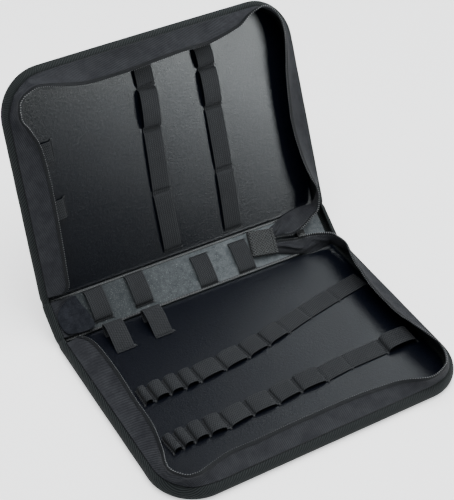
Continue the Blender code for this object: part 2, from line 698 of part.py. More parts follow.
clear_scene()
PARTS = bpy.data.collections.new("tool_wallet")
GUIDES = bpy.data.collections.new("cutters")
bpy.context.scene.collection.children.link(PARTS)
bpy.context.scene.collection.children.link(GUIDES)
build_cover()
build_boards()
build_spine_lining()
build_band("base", BASE_BAND, BASE_TAIL)
build_band("lid", LID_BAND, LID_TAIL)
build_elastics()
build_zip_end()
build_slider()
build_spine_end()
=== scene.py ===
import math

import bmesh
import bpy
import numpy as np
from mathutils import Matrix, Vector, noise


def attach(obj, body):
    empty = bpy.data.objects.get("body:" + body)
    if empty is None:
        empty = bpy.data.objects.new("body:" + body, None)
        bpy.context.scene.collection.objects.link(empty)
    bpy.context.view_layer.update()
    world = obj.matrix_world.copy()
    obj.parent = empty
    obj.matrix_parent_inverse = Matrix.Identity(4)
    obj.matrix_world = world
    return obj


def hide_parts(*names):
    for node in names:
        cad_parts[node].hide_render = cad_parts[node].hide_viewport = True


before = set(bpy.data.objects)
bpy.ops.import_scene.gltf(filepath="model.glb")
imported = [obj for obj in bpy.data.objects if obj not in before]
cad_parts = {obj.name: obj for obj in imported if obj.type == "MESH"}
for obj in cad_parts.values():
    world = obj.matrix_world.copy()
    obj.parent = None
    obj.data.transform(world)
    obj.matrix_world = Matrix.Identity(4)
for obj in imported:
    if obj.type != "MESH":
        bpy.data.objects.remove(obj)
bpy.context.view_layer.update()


def named_rows(fields, *values):
    """Rows of a table, each by its fields' names."""
    return [dict(zip(fields.split(), row)) for row in values]


# The wallet's own sizes, as its solids have them
WIDTH = 0.344
HALF_DEPTH = 0.2406
SPINE = 0.0488
CORNER = 0.0472
COVER = 0.0022
RIM_HEIGHT = 0.014
RIM_LIP = 0.0066
SEAM_LAP = 0.0008
SPINE_TILT = math.radians(35.5)
LID_TILT = math.radians(65.95)
LID_TWIST = math.radians(-3.9)
FOLD_RADIUS = 0.020
CLEARANCE = 0.0003
BOARD = 0.0018
BOARD_INSET = 0.009
BOARD_TO_FOLD = 0.0015
FELT = 0.0025
FELT_INSET = 0.010
FELT_TO_FOLD = 0.0005
BAND_WIDTH = 0.026
BAND_CLOTH = 0.0012
BAND_CROWN = 0.0012
ZIP_TAPE = 0.0030
SLIDER_LENGTH = 0.010
SLIDER_WIDTH = 0.0075
SLIDER_PLATE = 0.0016
SLIDER_GAP = 0.0019
SLIDER_PLACE = {"x": 0.735, "v": 0.45, "n": 0.54}
ELASTIC = 0.0205
ELASTIC_THICK = 0.0010
LOOP_HEIGHT = 0.009
TAB_HEIGHT = 0.0125
FOOT = 0.0022
TAB_LENGTH = 0.030
TAB_WIDTH = 0.028
TAB_THICK = 0.0012
TAB_TURN = math.radians(-10)
TAB_PLACE = {"x": 0.4814, "v": 0.5697}
FACING = 0.0020
FACING_OUTER = 0.0148
FACING_INNER = 0.0108
END_CLOTH_REACH = 0.027

LINING_FLOOR = COVER + CLEARANCE
BOARD_TOP = LINING_FLOOR + BOARD
FELT_TOP = LINING_FLOOR + FELT
SEAM_INSET = RIM_LIP - SEAM_LAP
SEAM_HEIGHT = RIM_HEIGHT + CLEARANCE + BAND_CLOTH / 2
HALF = WIDTH / 2

# Rolled rim: inset as shares of the lip, height as shares of the rim's height
RIM_SECTION = named_rows(
    "inset height",
    (0.76, 0.00), (0.22, 0.14), (0.00, 0.47), (0.18, 0.79), (0.56, 0.97), (1.00, 1.00),
)

# Band sections round a half, from the zip's end to the left: the free edge lies
# inward by reach and up by rise, both shares of the band's width
BASE_BAND = named_rows(
    "on at reach rise",
    ("right", 0.17, 0.35, 0.75), ("right", 0.29, 0.59, 0.62), ("right", 0.39, 0.69, 0.50),
    ("right", 0.54, 0.79, 0.42), ("right", 0.72, 0.79, 0.42), ("right", 0.90, 0.60, 0.58),
    ("corner_right", 0.00, 0.47, 0.64), ("corner_right", 0.20, 0.38, 0.66),
    ("corner_right", 0.46, 0.25, 0.68), ("corner_right", 0.73, 0.05, 0.68), ("far", 0.99, -0.07, 0.66),
    ("far", 0.94, 0.07, 0.64), ("far", 0.87, 0.49, 0.48), ("far", 0.79, 0.67, 0.38),
    ("far", 0.65, 0.79, 0.34), ("far", 0.50, 0.79, 0.35), ("far", 0.36, 0.78, 0.35),
    ("far", 0.22, 0.71, 0.40), ("far", 0.10, 0.69, 0.44), ("far", 0.02, 0.51, 0.48),
    ("corner_left", 0.74, 0.13, 0.64), ("corner_left", 0.53, -0.03, 0.65),
    ("corner_left", 0.30, 0.03, 0.65), ("corner_left", 0.08, 0.37, 0.60), ("left", 0.92, 0.63, 0.50),
    ("left", 0.78, 0.85, 0.36), ("left", 0.60, 0.89, 0.31), ("left", 0.42, 0.95, 0.32),
    ("left", 0.22, 0.92, 0.32), ("left", 0.12, 0.81, 0.26), ("left", 0.06, 0.55, 0.14),
)
LID_BAND = named_rows(
    "on at reach rise",
    ("right", 0.14, 0.45, 0.70), ("right", 0.22, 0.63, 0.60), ("right", 0.36, 0.80, 0.42),
    ("right", 0.54, 0.87, 0.30), ("right", 0.68, 0.83, 0.34), ("right", 0.84, 0.72, 0.42),
    ("right", 0.98, 0.55, 0.52), ("corner_right", 0.30, 0.42, 0.62),
    ("corner_right", 0.60, 0.18, 0.70), ("corner_right", 0.88, -0.07, 0.70), ("far", 0.96, 0.11, 0.68),
    ("far", 0.90, 0.47, 0.62), ("far", 0.82, 0.71, 0.47), ("far", 0.74, 0.87, 0.30),
    ("far", 0.62, 0.85, 0.32), ("far", 0.50, 0.90, 0.28), ("far", 0.38, 0.98, 0.18),
    ("far", 0.24, 0.97, 0.22), ("far", 0.15, 0.87, 0.37), ("far", 0.05, 0.61, 0.52),
    ("corner_left", 0.81, 0.29, 0.66), ("corner_left", 0.54, 0.05, 0.66),
    ("corner_left", 0.36, 0.02, 0.67), ("corner_left", 0.14, 0.23, 0.65), ("left", 0.97, 0.55, 0.56),
    ("left", 0.88, 0.85, 0.42), ("left", 0.76, 1.00, 0.27), ("left", 0.60, 1.03, 0.25),
    ("left", 0.44, 1.01, 0.25), ("left", 0.30, 0.97, 0.26), ("left", 0.18, 0.91, 0.30),
    ("left", 0.09, 0.87, 0.28), ("left", 0.05, 0.67, 0.18),
)

# Loose right-hand ends of the bands over the spine's plane: x as shares of half
# the width, v of the spine, heights n of the band's width
BASE_TAIL = named_rows(
    "seam_x seam_v seam_n zip_x zip_v zip_n",
    (0.540, 0.27, 0.30, 0.540, 0.53, 0.34), (0.615, 0.16, 0.27, 0.615, 0.50, 0.42),
    (0.700, 0.05, 0.26, 0.690, 0.43, 0.54), (0.795, -0.02, 0.28, 0.779, 0.41, 0.54),
    (0.880, -0.01, 0.33, 0.858, 0.32, 0.77), (0.930, -0.02, 0.50, 0.916, 0.18, 1.08),
)
LID_TAIL = named_rows(
    "seam_x seam_v seam_n zip_x zip_v zip_n",
    (0.540, 0.80, 0.30, 0.540, 0.55, 0.34), (0.615, 0.88, 0.27, 0.615, 0.53, 0.42),
    (0.700, 1.00, 0.26, 0.690, 0.47, 0.54), (0.790, 1.05, 0.30, 0.773, 0.54, 0.54),
    (0.850, 1.05, 0.38, 0.842, 0.67, 0.77), (0.925, 1.06, 0.46, 0.888, 0.81, 1.20),
)

# Elastic rows: a stitched foot's x as a share of half the width, its depth as a
# share of the half's, and the next loop's height as a share of the tallest
BACK_ROW = named_rows(
    "x deep loop",
    (-0.773, 0.436, 0.95), (-0.704, 0.437, 1.00), (-0.602, 0.435, 0.95), (-0.506, 0.436, 0.90),
    (-0.408, 0.435, 0.68), (-0.236, 0.425, 0.64), (-0.067, 0.411, 0.60), (0.087, 0.392, 0.56),
    (0.251, 0.367, 0.10), (0.435, 0.335, 0.08), (0.678, 0.302, 0.08), (0.919, 0.272, 0.00),
)
FRONT_ROW = named_rows(
    "x deep loop",
    (-0.808, 0.710, 0.90), (-0.736, 0.705, 0.95), (-0.657, 0.701, 0.95), (-0.556, 0.700, 0.90),
    (-0.439, 0.705, 0.66), (-0.272, 0.692, 0.64), (-0.103, 0.690, 0.62), (0.063, 0.679, 0.60),
    (0.244, 0.679, 0.10), (0.431, 0.667, 0.08), (0.687, 0.666, 1.15), (0.906, 0.669, 0.00),
)
LID_STRAPS = {
    "lid_strap_left": named_rows(
        "x deep loop",
        (-0.099, 0.036, 0.34), (-0.101, 0.312, 0.34), (-0.083, 0.594, 1.05), (-0.068, 0.777, 0.40),
        (-0.074, 0.890, 0.00),
    ),
    "lid_strap_right": named_rows(
        "x deep loop",
        (0.333, 0.033, 0.40), (0.349, 0.316, 0.36), (0.355, 0.603, 0.90), (0.359, 0.780, 0.85),
        (0.346, 0.885, 0.00),
    ),
}
SPINE_LOOPS = named_rows(
    "x start end loop",
    (-0.676, 0.18, 0.93, 0.84), (-0.401, 0.18, 0.95, 0.92), (0.044, 0.08, 0.82, 0.55),
    (0.320, 0.08, 0.82, 0.58),
)
SIDE_LOOPS = named_rows(
    "deep end start loop",
    (0.640, -0.727, -0.860, 0.55), (0.387, -0.721, -0.860, 0.55),
)
TAB_LOOPS = ({"x": -0.660}, {"x": -0.403})
TAB_PROFILE = named_rows(
    "deep rise",
    (0.170, 0.00), (0.156, 0.02), (0.128, 0.33), (0.092, 0.74), (0.056, 0.99), (0.034, 0.94),
    (0.024, 0.70), (0.032, 0.36), (0.050, 0.05), (0.064, 0.00),
)
FACING_OUTLINE = named_rows(
    "v outer inner",
    (0.03, -0.850, -0.800), (0.14, -0.925, -0.750), (0.28, -0.950, -0.750), (0.46, -0.955, -0.758),
    (0.64, -0.938, -0.778), (0.79, -0.885, -0.790), (0.87, -0.820, -0.796),
)

# Fineness of the cloth here
COVER_COLUMNS = 72
CORNER_STEPS = 18
SIDE_STEPS = 44
RIM_STEPS = 3
BAND_STEPS = 10
BAND_COLUMNS = 15
ARCH_STEPS = 16
STRAP_COLUMNS = 7
THREAD_SIDES = 6
TUBE_SIDES = 8
FELT_ROWS = 34
FELT_COLUMNS = 150
SHARP_ANGLE = math.radians(50)
BEVEL_ANGLE = math.radians(60)
BEVEL_SHARE = 0.3

# Wrinkles, stitches, thread and teeth, which only this script makes
COVER_SAG = 0.00035
COVER_SAG_WAVE = 0.05
RIM_LUMP = 0.00030
RIM_LUMP_WAVE = 0.024
PINCH = 0.0012
PINCH_REACH = 0.0045
FELT_FLUFF = 0.00022
FELT_FLUFF_WAVE = 0.006
BINDING = 0.0004
BINDING_LIFT = 0.0003
OVERCAST_PITCH = 0.0031
OVERCAST_SLANT = 0.0016
OVERCAST_THREAD = 0.00036
OVERCAST_LIFT = 0.0007
CLOTH_CREASE = 0.00022
CLOTH_CREASE_WAVE = 0.011
CLOTH_WAVE = 0.0005
CLOTH_WAVE_LENGTH = 0.034
LOOSE_CLOTH = 0.0008
RIDGE_WAVE = 0.013
TAPE = 0.0007
TAPE_UNDER = 0.0012
TAPE_DROP = 0.0005
TAPE_TO_TEETH = 0.0006
HEM_PITCH = 0.0026
HEM_STITCH = 0.0017
HEM_THREAD = 0.00024
# Radius of the dark cord that paints the shade in the slit at the band's seam
SEAM_SHADE_CORD = 0.00075
SEAM_PITCH = 0.0032
SEAM_STITCH = 0.0021
THREAD = 0.00026
SLIDER_SECTION = 2.7
TOOTH_PITCH = 0.0024
TOOTH_SLANT = 0.0011
TOOTH_REACH = 0.0017
TOOTH_RADIUS = 0.00052
LOOP_SLACK = 0.62
LOOP_CURL = 0.0004
STRAP_SKIN = 0.8
BAR_STITCHES = 8
BAR_STITCH_SHARE = 0.72
BAR_WIDTH_SHARE = 0.94
BAR_THREAD = 0.00028
TAB_BARS = (0.0012, 0.0035)
FRAY_THREAD = 0.00027
WEBBING_SAG = 0.0004
WEBBING_SAG_WAVE = 0.009
WEBBING_PITCH = 0.0030
WEBBING_STITCH = 0.0022
WEBBING_THREAD = 0.0003
SLIDER_TAPER = 0.8
SLIDER_POST = 0.0016
SLIDER_POST_WIDTH = 0.0012
SLIDER_POST_INSET = 0.0010
SLIDER_LUG_SHARE = 0.62
SLIDER_LUG_WIDTH = 0.0022
SLIDER_LUG = 0.0012
SLIDER_EDGE = 0.0006
FACING_LUMP = 0.0004
FACING_LUMP_WAVE = 0.008
FRAYS = ({"lean": 0.5, "reach": 0.0019}, {"lean": -0.4, "reach": 0.0023}, {"lean": 0.1, "reach": 0.0014})
EDGE_TAPE = 0.0032
LADDER_PITCH = 0.0022
LADDER_SECTIONS = (24.2, 28.2)
LADDER_COLUMN = 2
LADDER_RADIUS = 0.00065
LADDER_LIFT = 0.0004
CORNER_SECTION = 21.5
CORNER_CRUMPLE_REACH = 0.028
RIDGE = 0.00034
CORNER_RIDGE = 0.0014

# Weaves: the distance from one line to the next
TWILL_LINE = 0.0031
TWILL_CROSS = 0.0017
BAND_LINE = 0.0027
BAND_CROSS = 0.0019
ELASTIC_RIB = 0.00240
ELASTIC_PICK = 0.00190
BASKET = 0.0034
TAPE_ROW = 0.0011
TAPE_STEP = 0.0012

# Fold lines in the bands' loose ends, in metres along the band and from its seam
TAIL_CREASES = {
    "base": (
        {"start": (0.002, 0.019), "end": (0.034, 0.010), "height": 0.0030, "reach": 0.0045},
        {"start": (0.030, 0.004), "end": (0.052, 0.014), "height": 0.0011, "reach": 0.0040},
        {"start": (0.046, 0.022), "end": (0.066, 0.012), "height": 0.0012, "reach": 0.0045},
    ),
    "lid": (
        {"start": (0.004, 0.020), "end": (0.024, 0.001), "height": 0.0032, "reach": 0.0040},
        {"start": (0.003, 0.012), "end": (0.013, 0.000), "height": 0.0020, "reach": 0.0035},
        {"start": (0.010, 0.024), "end": (0.038, 0.009), "height": 0.0027, "reach": 0.0050},
        {"start": (0.040, 0.003), "end": (0.060, 0.016), "height": 0.0013, "reach": 0.0050},
    ),
}

# Stage, lights and camera: metres, degrees, watts and millimetres of lens
FLOOR_SIZE = 60
FLOOR_GAP = 0.0005
FLOOR_GLOW = 0.8
SKY_STRENGTH = 0.5
LIGHTS = (
    {"name": "lid_gloss", "place": (0.74, -0.63, 0.54), "aim": (0.13, 0.24, 0.22), "size": 0.35,
     "power": 78, "colour": (0.94, 1.0, 1.0), "gloss_only": True},
    {"name": "base_gloss", "place": (0.68, 0.52, 0.76), "aim": (0.10, 0.0, 0.0), "size": 0.42,
     "power": 15, "colour": (0.94, 1.0, 1.0), "gloss_only": True},
    {"name": "side", "place": (1.3, -0.5, 1.2), "aim": (0, 0.1, 0.05), "size": 1.0,
     "power": 9, "colour": (1, 1, 1), "gloss_only": False},
    {"name": "overhead", "place": (-0.1, 0.1, 2.6), "aim": (0, 0.05, 0.0), "size": 2.4,
     "power": 150, "colour": (1, 1, 1), "gloss_only": False},
)
CAMERA = {"azimuth": -32.897, "elevation": 41.389, "roll": 3.247, "distance": 1.4401, "lens": 93.53,
          "target": (0.05715, 0.16804, 0.0)}


# Shape of the open wallet

def fold(x, v, n):
    """Points n above the cover's outer face, v being measured from the base fold."""
    x, v, n = (np.asarray(part, float) for part in np.broadcast_arrays(x, v, n))
    tilt = LID_TILT + LID_TWIST * x / HALF
    base_reach = FOLD_RADIUS * math.tan(SPINE_TILT / 2)
    lid_reach = FOLD_RADIUS * np.tan((tilt - SPINE_TILT) / 2)
    base_share = np.clip((v + base_reach) / (2 * base_reach), 0, 1)
    lid_share = np.clip((v - SPINE + lid_reach) / (2 * lid_reach), 0, 1)
    angle = SPINE_TILT * base_share + (tilt - SPINE_TILT) * lid_share
    cos_s, sin_s = math.cos(SPINE_TILT), math.sin(SPINE_TILT)
    start = HALF_DEPTH / 2
    y = start + np.where(v < 0, v, v * cos_s)
    z = np.where(v < 0, 0, v * sin_s)
    inside = (base_share > 0) & (base_share < 1)
    y = np.where(inside, start - base_reach + FOLD_RADIUS * np.sin(angle), y)
    z = np.where(inside, FOLD_RADIUS * (1 - np.cos(angle)), z)
    fold_y, fold_z = start + SPINE * cos_s, SPINE * sin_s
    centre_y = fold_y - cos_s * lid_reach - sin_s * FOLD_RADIUS
    centre_z = fold_z - sin_s * lid_reach + cos_s * FOLD_RADIUS
    inside = (lid_share > 0) & (lid_share < 1)
    y = np.where(inside, centre_y + FOLD_RADIUS * np.sin(angle), y)
    z = np.where(inside, centre_z - FOLD_RADIUS * np.cos(angle), z)
    beyond = lid_share >= 1
    y = np.where(beyond, fold_y + (v - SPINE) * np.cos(tilt), y)
    z = np.where(beyond, fold_z + (v - SPINE) * np.sin(tilt), z)
    return np.stack([x, y - n * np.sin(angle), z + n * np.cos(angle)], -1)


def on_half(half, x, deep, n):
    """Points over one half, deep being measured from its own fold."""
    return fold(x, -np.asarray(deep) if half == "base" else SPINE + np.asarray(deep), n)


def on_spine(x, v, n):
    """Points over the spine's flat plane, without the rounded folds."""
    x, v, n = (np.asarray(part, float) for part in np.broadcast_arrays(x, v, n))
    y = HALF_DEPTH / 2 + v * math.cos(SPINE_TILT) - n * math.sin(SPINE_TILT)
    return np.stack([x, y, v * math.sin(SPINE_TILT) + n * math.cos(SPINE_TILT)], -1)


def smooth_run(points, steps):
    """Catmull-Rom curve through an array of points, steps to each stretch."""
    points = np.asarray(points, float)
    ends = np.vstack([points[0] * 2 - points[1], points, points[-1] * 2 - points[-2]])
    run = []
    for a, b, c, d in zip(ends, ends[1:], ends[2:], ends[3:]):
        for step in range(steps):
            t = step / steps
            run.append(0.5 * (2 * b + (c - a) * t + (2 * a - 5 * b + 4 * c - d) * t * t
                              + (3 * b - a - 3 * c + d) * t ** 3))
    run.append(points[-1])
    return np.array(run)


def lengths(points):
    """Length run along a row of points, at each of them."""
    steps = np.linalg.norm(np.diff(points, axis=0), axis=1)
    return np.concatenate([[0], np.cumsum(steps)])


def along_run(points, stations):
    """Points at given lengths along a row of points."""
    run = lengths(points)
    return np.stack([np.interp(stations, run, points[:, axis]) for axis in range(3)], -1)


def unit(vectors):
    """Vectors of length one."""
    size = np.linalg.norm(vectors, axis=-1, keepdims=True)
    return vectors / np.maximum(size, 1e-9)


def rumple(u, v, wave, seed):
    """Smooth noise from -1 to 1 over flat cloth, wave long."""
    flat = np.broadcast(u, v)
    values = [noise.noise(Vector((a / wave, b / wave, seed))) for a, b in flat]
    return np.array(values).reshape(flat.shape)


# Making pieces

def finish_piece(item, material, nodes=()):
    """Give a piece its material and its place in the frame."""
    item.data.materials.clear()
    item.data.materials.append(material)
    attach(item, "root")
    if nodes:
        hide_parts(*nodes)
    return item


def settle(item):
    """Put the modifiers' result into the mesh."""
    graph = bpy.context.evaluated_depsgraph_get()
    mesh = bpy.data.meshes.new_from_object(item.evaluated_get(graph))
    item.modifiers.clear()
    item.data = mesh
    mesh.shade_smooth()
    mesh.set_sharp_from_angle(angle=SHARP_ANGLE)
    return item


def mesh_object(name, points, faces, flat):
    """Object from points and faces; flat keeps each point's place on the flat cloth."""
    mesh = bpy.data.meshes.new(name)
    mesh.from_pydata(np.asarray(points).reshape(-1, 3).tolist(), [], faces)
    layer = mesh.attributes.new("flat", "FLOAT_VECTOR", "POINT")
    flat = np.asarray(flat, float).reshape(-1, 2)
    layer.data.foreach_set("vector", np.column_stack([flat, np.zeros(len(flat))]).ravel())
    mesh.update()
    item = bpy.data.objects.new(name, mesh)
    bpy.context.scene.collection.objects.link(item)
    return item


def grid_faces(rows, columns):
    """Faces of a grid of points, row by row."""
    faces = []
    for r in range(rows - 1):
        for c in range(columns - 1):
            a = r * columns + c
            faces.append((a, a + 1, a + columns + 1, a + columns))
    return faces


def cloth(name, grid, flat, thickness):
    """Cloth or board of even thickness over a grid of points."""
    rows, columns = grid.shape[:2]
    item = mesh_object(name, grid, grid_faces(rows, columns), flat)
    solid = item.modifiers.new("thickness", "SOLIDIFY")
    solid.thickness = thickness
    solid.offset = 0.0
    solid.use_even_offset = True
    solid.use_quality_normals = True
    edge = item.modifiers.new("edge", "BEVEL")
    edge.width = thickness * BEVEL_SHARE
    edge.segments = 2
    edge.limit_method = "ANGLE"
    edge.angle_limit = BEVEL_ANGLE
    return settle(item)


def flat_grid(grid):
    """Place on the flat cloth of a grid's points, by length along and across."""
    middle = grid[:, grid.shape[1] // 2]
    along = lengths(middle)[:, None]
    steps = np.linalg.norm(np.diff(grid, axis=1), axis=2)
    across = np.concatenate([np.zeros((len(grid), 1)), np.cumsum(steps, axis=1)], axis=1)
    return np.stack([np.broadcast_to(along, across.shape), across], -1)


def threads(name, starts, ends, ups, radius, hump=1.0, sink=1.0):
    """Short humped tubes from starts to ends, joined: stitches, teeth and thread ends."""
    starts, ends, ups = (np.asarray(part, float) for part in (starts, ends, ups))
    ups = unit(ups)
    along = unit(ends - starts)
    side = unit(np.cross(along, ups))
    sides = THREAD_SIDES
    points = []
    faces = []
    stations = ((0.0, -sink, 0.55), (0.22, hump * 0.55, 1.0), (0.5, hump, 1.05), (0.78, hump * 0.55, 1.0),
                (1.0, -sink, 0.55))
    for i in range(len(starts)):
        first = len(points)
        for share, lift, wide in stations:
            centre = starts[i] + (ends[i] - starts[i]) * share + ups[i] * radius * lift
            for step in range(sides):
                angle = 2 * math.pi * step / sides
                ring = side[i] * math.cos(angle) + ups[i] * math.sin(angle)
                points.append(centre + ring * radius * wide)
        for ring in range(len(stations) - 1):
            for step in range(sides):
                a = first + ring * sides + step
                b = first + ring * sides + (step + 1) % sides
                faces.append((a, a + sides, b + sides, b))
        faces.append(tuple(first + step for step in range(sides)))
        last = first + (len(stations) - 1) * sides
        faces.append(tuple(last + step for step in reversed(range(sides))))
    points = np.array(points)
    item = mesh_object(name, points, faces, points[:, :2])
    shape = bmesh.new()
    shape.from_mesh(item.data)
    bmesh.ops.recalc_face_normals(shape, faces=shape.faces)
    shape.to_mesh(item.data)
    shape.free()
    item.data.shade_smooth()
    return item


def tube(name, points, radius):
    """Round cord along a row of points."""
    sides = TUBE_SIDES
    along = unit(np.gradient(points, axis=0))
    side = unit(np.cross(along, np.array([0.0, -0.3, 1.0])))
    up = np.cross(side, along)
    turn = 2 * math.pi * np.arange(sides) / sides
    ring = side[:, None] * np.cos(turn)[None, :, None] + up[:, None] * np.sin(turn)[None, :, None]
    grid = points[:, None] + ring * radius
    rows = len(points)
    faces = []
    for r in range(rows - 1):
        for c in range(sides):
            a, b = r * sides + c, r * sides + (c + 1) % sides
            faces.append((a, b, b + sides, a + sides))
    faces.append(tuple(reversed(range(sides))))
    faces.append(tuple((rows - 1) * sides + c for c in range(sides)))
    run = np.broadcast_to(lengths(points)[:, None], (rows, sides))
    item = mesh_object(name, grid, faces, np.stack([run, np.broadcast_to(turn * radius, run.shape)], -1))
    item.data.shade_smooth()
    return item


def stitch_line(points, ups, pitch, length):
    """Starts, ends and ups of stitches along a row of points."""
    total = lengths(points)[-1]
    stations = np.arange(0.0, total - length, pitch)
    run = lengths(points)
    up = np.stack([np.interp(stations, run, ups[:, axis]) for axis in range(3)], -1)
    return along_run(points, stations), along_run(points, stations + length), up


# Materials

class Recipe:
    """Short way to write a cloth's or board's nodes."""

    def __init__(self, name, roughness=0.8, sheen=0.0, specular=0.5):
        self.material = bpy.data.materials.new(name)
        self.material.use_nodes = True
        self.tree = self.material.node_tree
        self.shader = self.tree.nodes["Principled BSDF"]
        self.shader.inputs["Roughness"].default_value = roughness
        self.shader.inputs["Specular IOR Level"].default_value = specular
        self.shader.inputs["Sheen Weight"].default_value = sheen
        self.shader.inputs["Sheen Roughness"].default_value = 0.45
        place = self.tree.nodes.new("ShaderNodeAttribute")
        place.attribute_name = "flat"
        parts = self.node("ShaderNodeSeparateXYZ", Vector=place.outputs["Vector"])
        self.u = parts.outputs["X"]
        self.v = parts.outputs["Y"]
        self.space = self.tree.nodes.new("ShaderNodeTexCoord").outputs["Object"]

    def feed(self, socket, value):
        if isinstance(value, bpy.types.NodeSocket):
            self.tree.links.new(value, socket)
        else:
            socket.default_value = value

    def node(self, kind, **sockets):
        made = self.tree.nodes.new(kind)
        for name, value in sockets.items():
            self.feed(made.inputs[name], value)
        return made

    def math(self, operation, a, b=0.0):
        made = self.tree.nodes.new("ShaderNodeMath")
        made.operation = operation
        self.feed(made.inputs[0], a)
        self.feed(made.inputs[1], b)
        return made.outputs[0]

    def wave(self, coordinate, period):
        """0 to 1 to 0 in each period of a coordinate in metres."""
        turn = self.math("MULTIPLY_ADD", coordinate, 2 * math.pi / period)
        turn.node.inputs[2].default_value = 0.0
        sine = self.math("SINE", turn)
        half = self.math("MULTIPLY_ADD", sine, 0.5)
        half.node.inputs[2].default_value = 0.5
        return half

    def noise(self, scale, detail=2.0, rough=0.5):
        made = self.node("ShaderNodeTexNoise", Vector=self.space, Scale=scale, Detail=detail, Roughness=rough)
        return made.outputs["Fac"]

    def span(self, value, low, high, to_low=0.0, to_high=1.0):
        """A value's stretch from low to high, spread over to_low to to_high."""
        made = self.node("ShaderNodeMapRange", Value=value)
        for name, number in (("From Min", low), ("From Max", high), ("To Min", to_low), ("To Max", to_high)):
            made.inputs[name].default_value = number
        return made.outputs["Result"]

    def mix(self, share, low, high):
        made = self.tree.nodes.new("ShaderNodeMix")
        made.data_type = "RGBA"
        self.feed(made.inputs[0], share)
        for socket, value in ((made.inputs[6], low), (made.inputs[7], high)):
            self.feed(socket, value if isinstance(value, bpy.types.NodeSocket) else (*value, 1))
        return made.outputs[2]

    def colour(self, value):
        self.feed(self.shader.inputs["Base Color"], value)

    def bump(self, height, distance, strength=1.0):
        made = self.node("ShaderNodeBump", Height=height, Strength=strength, Distance=distance)
        previous = self.shader.inputs["Normal"]
        if previous.is_linked:
            self.tree.links.new(previous.links[0].from_socket, made.inputs["Normal"])
        self.tree.links.new(made.outputs["Normal"], previous)


def twill_material():
    """Coarse diagonal twill of the outer cover."""
    r = Recipe("twill", roughness=0.85, sheen=0.03, specular=0.03)
    diagonal = r.math("ADD", r.u, r.v)
    line = r.wave(diagonal, TWILL_LINE)
    cross = r.wave(r.math("SUBTRACT", r.u, r.v), TWILL_CROSS)
    fine = r.noise(1500, 3.0)
    patch = r.noise(22, 3.0)
    weave = r.math("ADD", r.math("MULTIPLY", line, 0.75), r.math("MULTIPLY", cross, 0.25))
    tint = r.mix(r.span(weave, 0.15, 0.85), (0.0030, 0.0038, 0.0042), (0.0215, 0.0250, 0.0250))
    faded = r.mix(r.span(patch, 0.3, 0.7, 0.0, 0.25), tint, (0.0100, 0.0115, 0.0125))
    r.colour(r.mix(r.span(fine, 0.45, 0.8, 0.0, 0.35), faded, (0.0270, 0.0300, 0.0300)))
    r.bump(weave, 0.0005, 1.0)
    r.bump(fine, 0.00012, 0.5)
    return r.material


def band_material():
    """Weave of the side bands, with fine diagonal lines and worn patches."""
    r = Recipe("band_cloth", roughness=0.80, sheen=0.03, specular=0.03)
    diagonal = r.wave(r.math("ADD", r.u, r.math("MULTIPLY", r.v, 1.35)), BAND_LINE)
    across = r.wave(r.math("SUBTRACT", r.u, r.v), BAND_CROSS)
    fine = r.noise(1900, 2.0)
    patch = r.noise(75, 4.0, 0.65)
    weave = r.math("ADD", r.math("MULTIPLY", diagonal, 0.7), r.math("MULTIPLY", across, 0.3))
    tint = r.mix(weave, (0.0050, 0.0055, 0.0070), (0.0350, 0.0368, 0.0410))
    worn = r.mix(r.span(patch, 0.38, 0.66, 0.0, 0.75), tint, (0.0095, 0.0099, 0.0124))
    r.colour(r.mix(r.span(fine, 0.5, 0.8, 0.0, 0.35), worn, (0.0400, 0.0410, 0.0450)))
    r.bump(weave, 0.00035, 0.9)
    r.bump(r.noise(110, 4.0, 0.6), 0.0016, 0.45)
    return r.material


def board_material():
    """Smooth semi-matte black board with a fine grain."""
    r = Recipe("board", roughness=0.33, specular=0.06)
    grain = r.noise(1300, 2.0, 0.6)
    cloud = r.noise(16, 3.0)
    speck = r.span(grain, 0.42, 0.78)
    r.colour(r.mix(speck, (0.0006, 0.0010, 0.0026), (0.0030, 0.0042, 0.0078)))
    rough = r.math("ADD", r.span(grain, 0.3, 0.7, 0.28, 0.39), r.span(cloud, 0.3, 0.7, -0.02, 0.02))
    r.feed(r.shader.inputs["Roughness"], rough)
    r.bump(grain, 0.00026, 0.7)
    r.bump(r.noise(420, 2.0), 0.00035, 0.4)
    r.bump(r.noise(18, 2.0), 0.0012, 0.05)
    return r.material


def felt_material(name, dark, light, fleck, painted_shade_left=0.0):
    """Needled felt: matted fibres, mottled, with small pale flecks; painted shade darkens it towards the
    left.
    """
    r = Recipe(name, roughness=0.95, sheen=0.03, specular=0.03)
    fibre = r.noise(900, 4.0, 0.7)
    mottle = r.noise(160, 3.0, 0.65)
    broad = r.noise(30, 2.0)
    base = r.mix(r.span(r.math("ADD", r.math("MULTIPLY", mottle, 0.6), r.math("MULTIPLY", fibre, 0.4)),
                        0.36, 0.66), dark, light)
    shade = r.mix(r.span(broad, 0.35, 0.65, 0.0, 0.25), base, dark)
    # Painted shade: the felt darkens towards the left end, by object x, where less light reaches it
    side = r.node("ShaderNodeSeparateXYZ", Vector=r.space).outputs["X"]
    shade = r.mix(r.span(side, 0.08, -0.13, 0.0, painted_shade_left), shade, tuple(part * 0.3 for part in dark))
    r.colour(r.mix(r.span(fibre, 0.58, 0.74, 0.0, 0.7), shade, fleck))
    r.bump(fibre, 0.0005, 0.7)
    r.bump(mottle, 0.0008, 0.35)
    return r.material


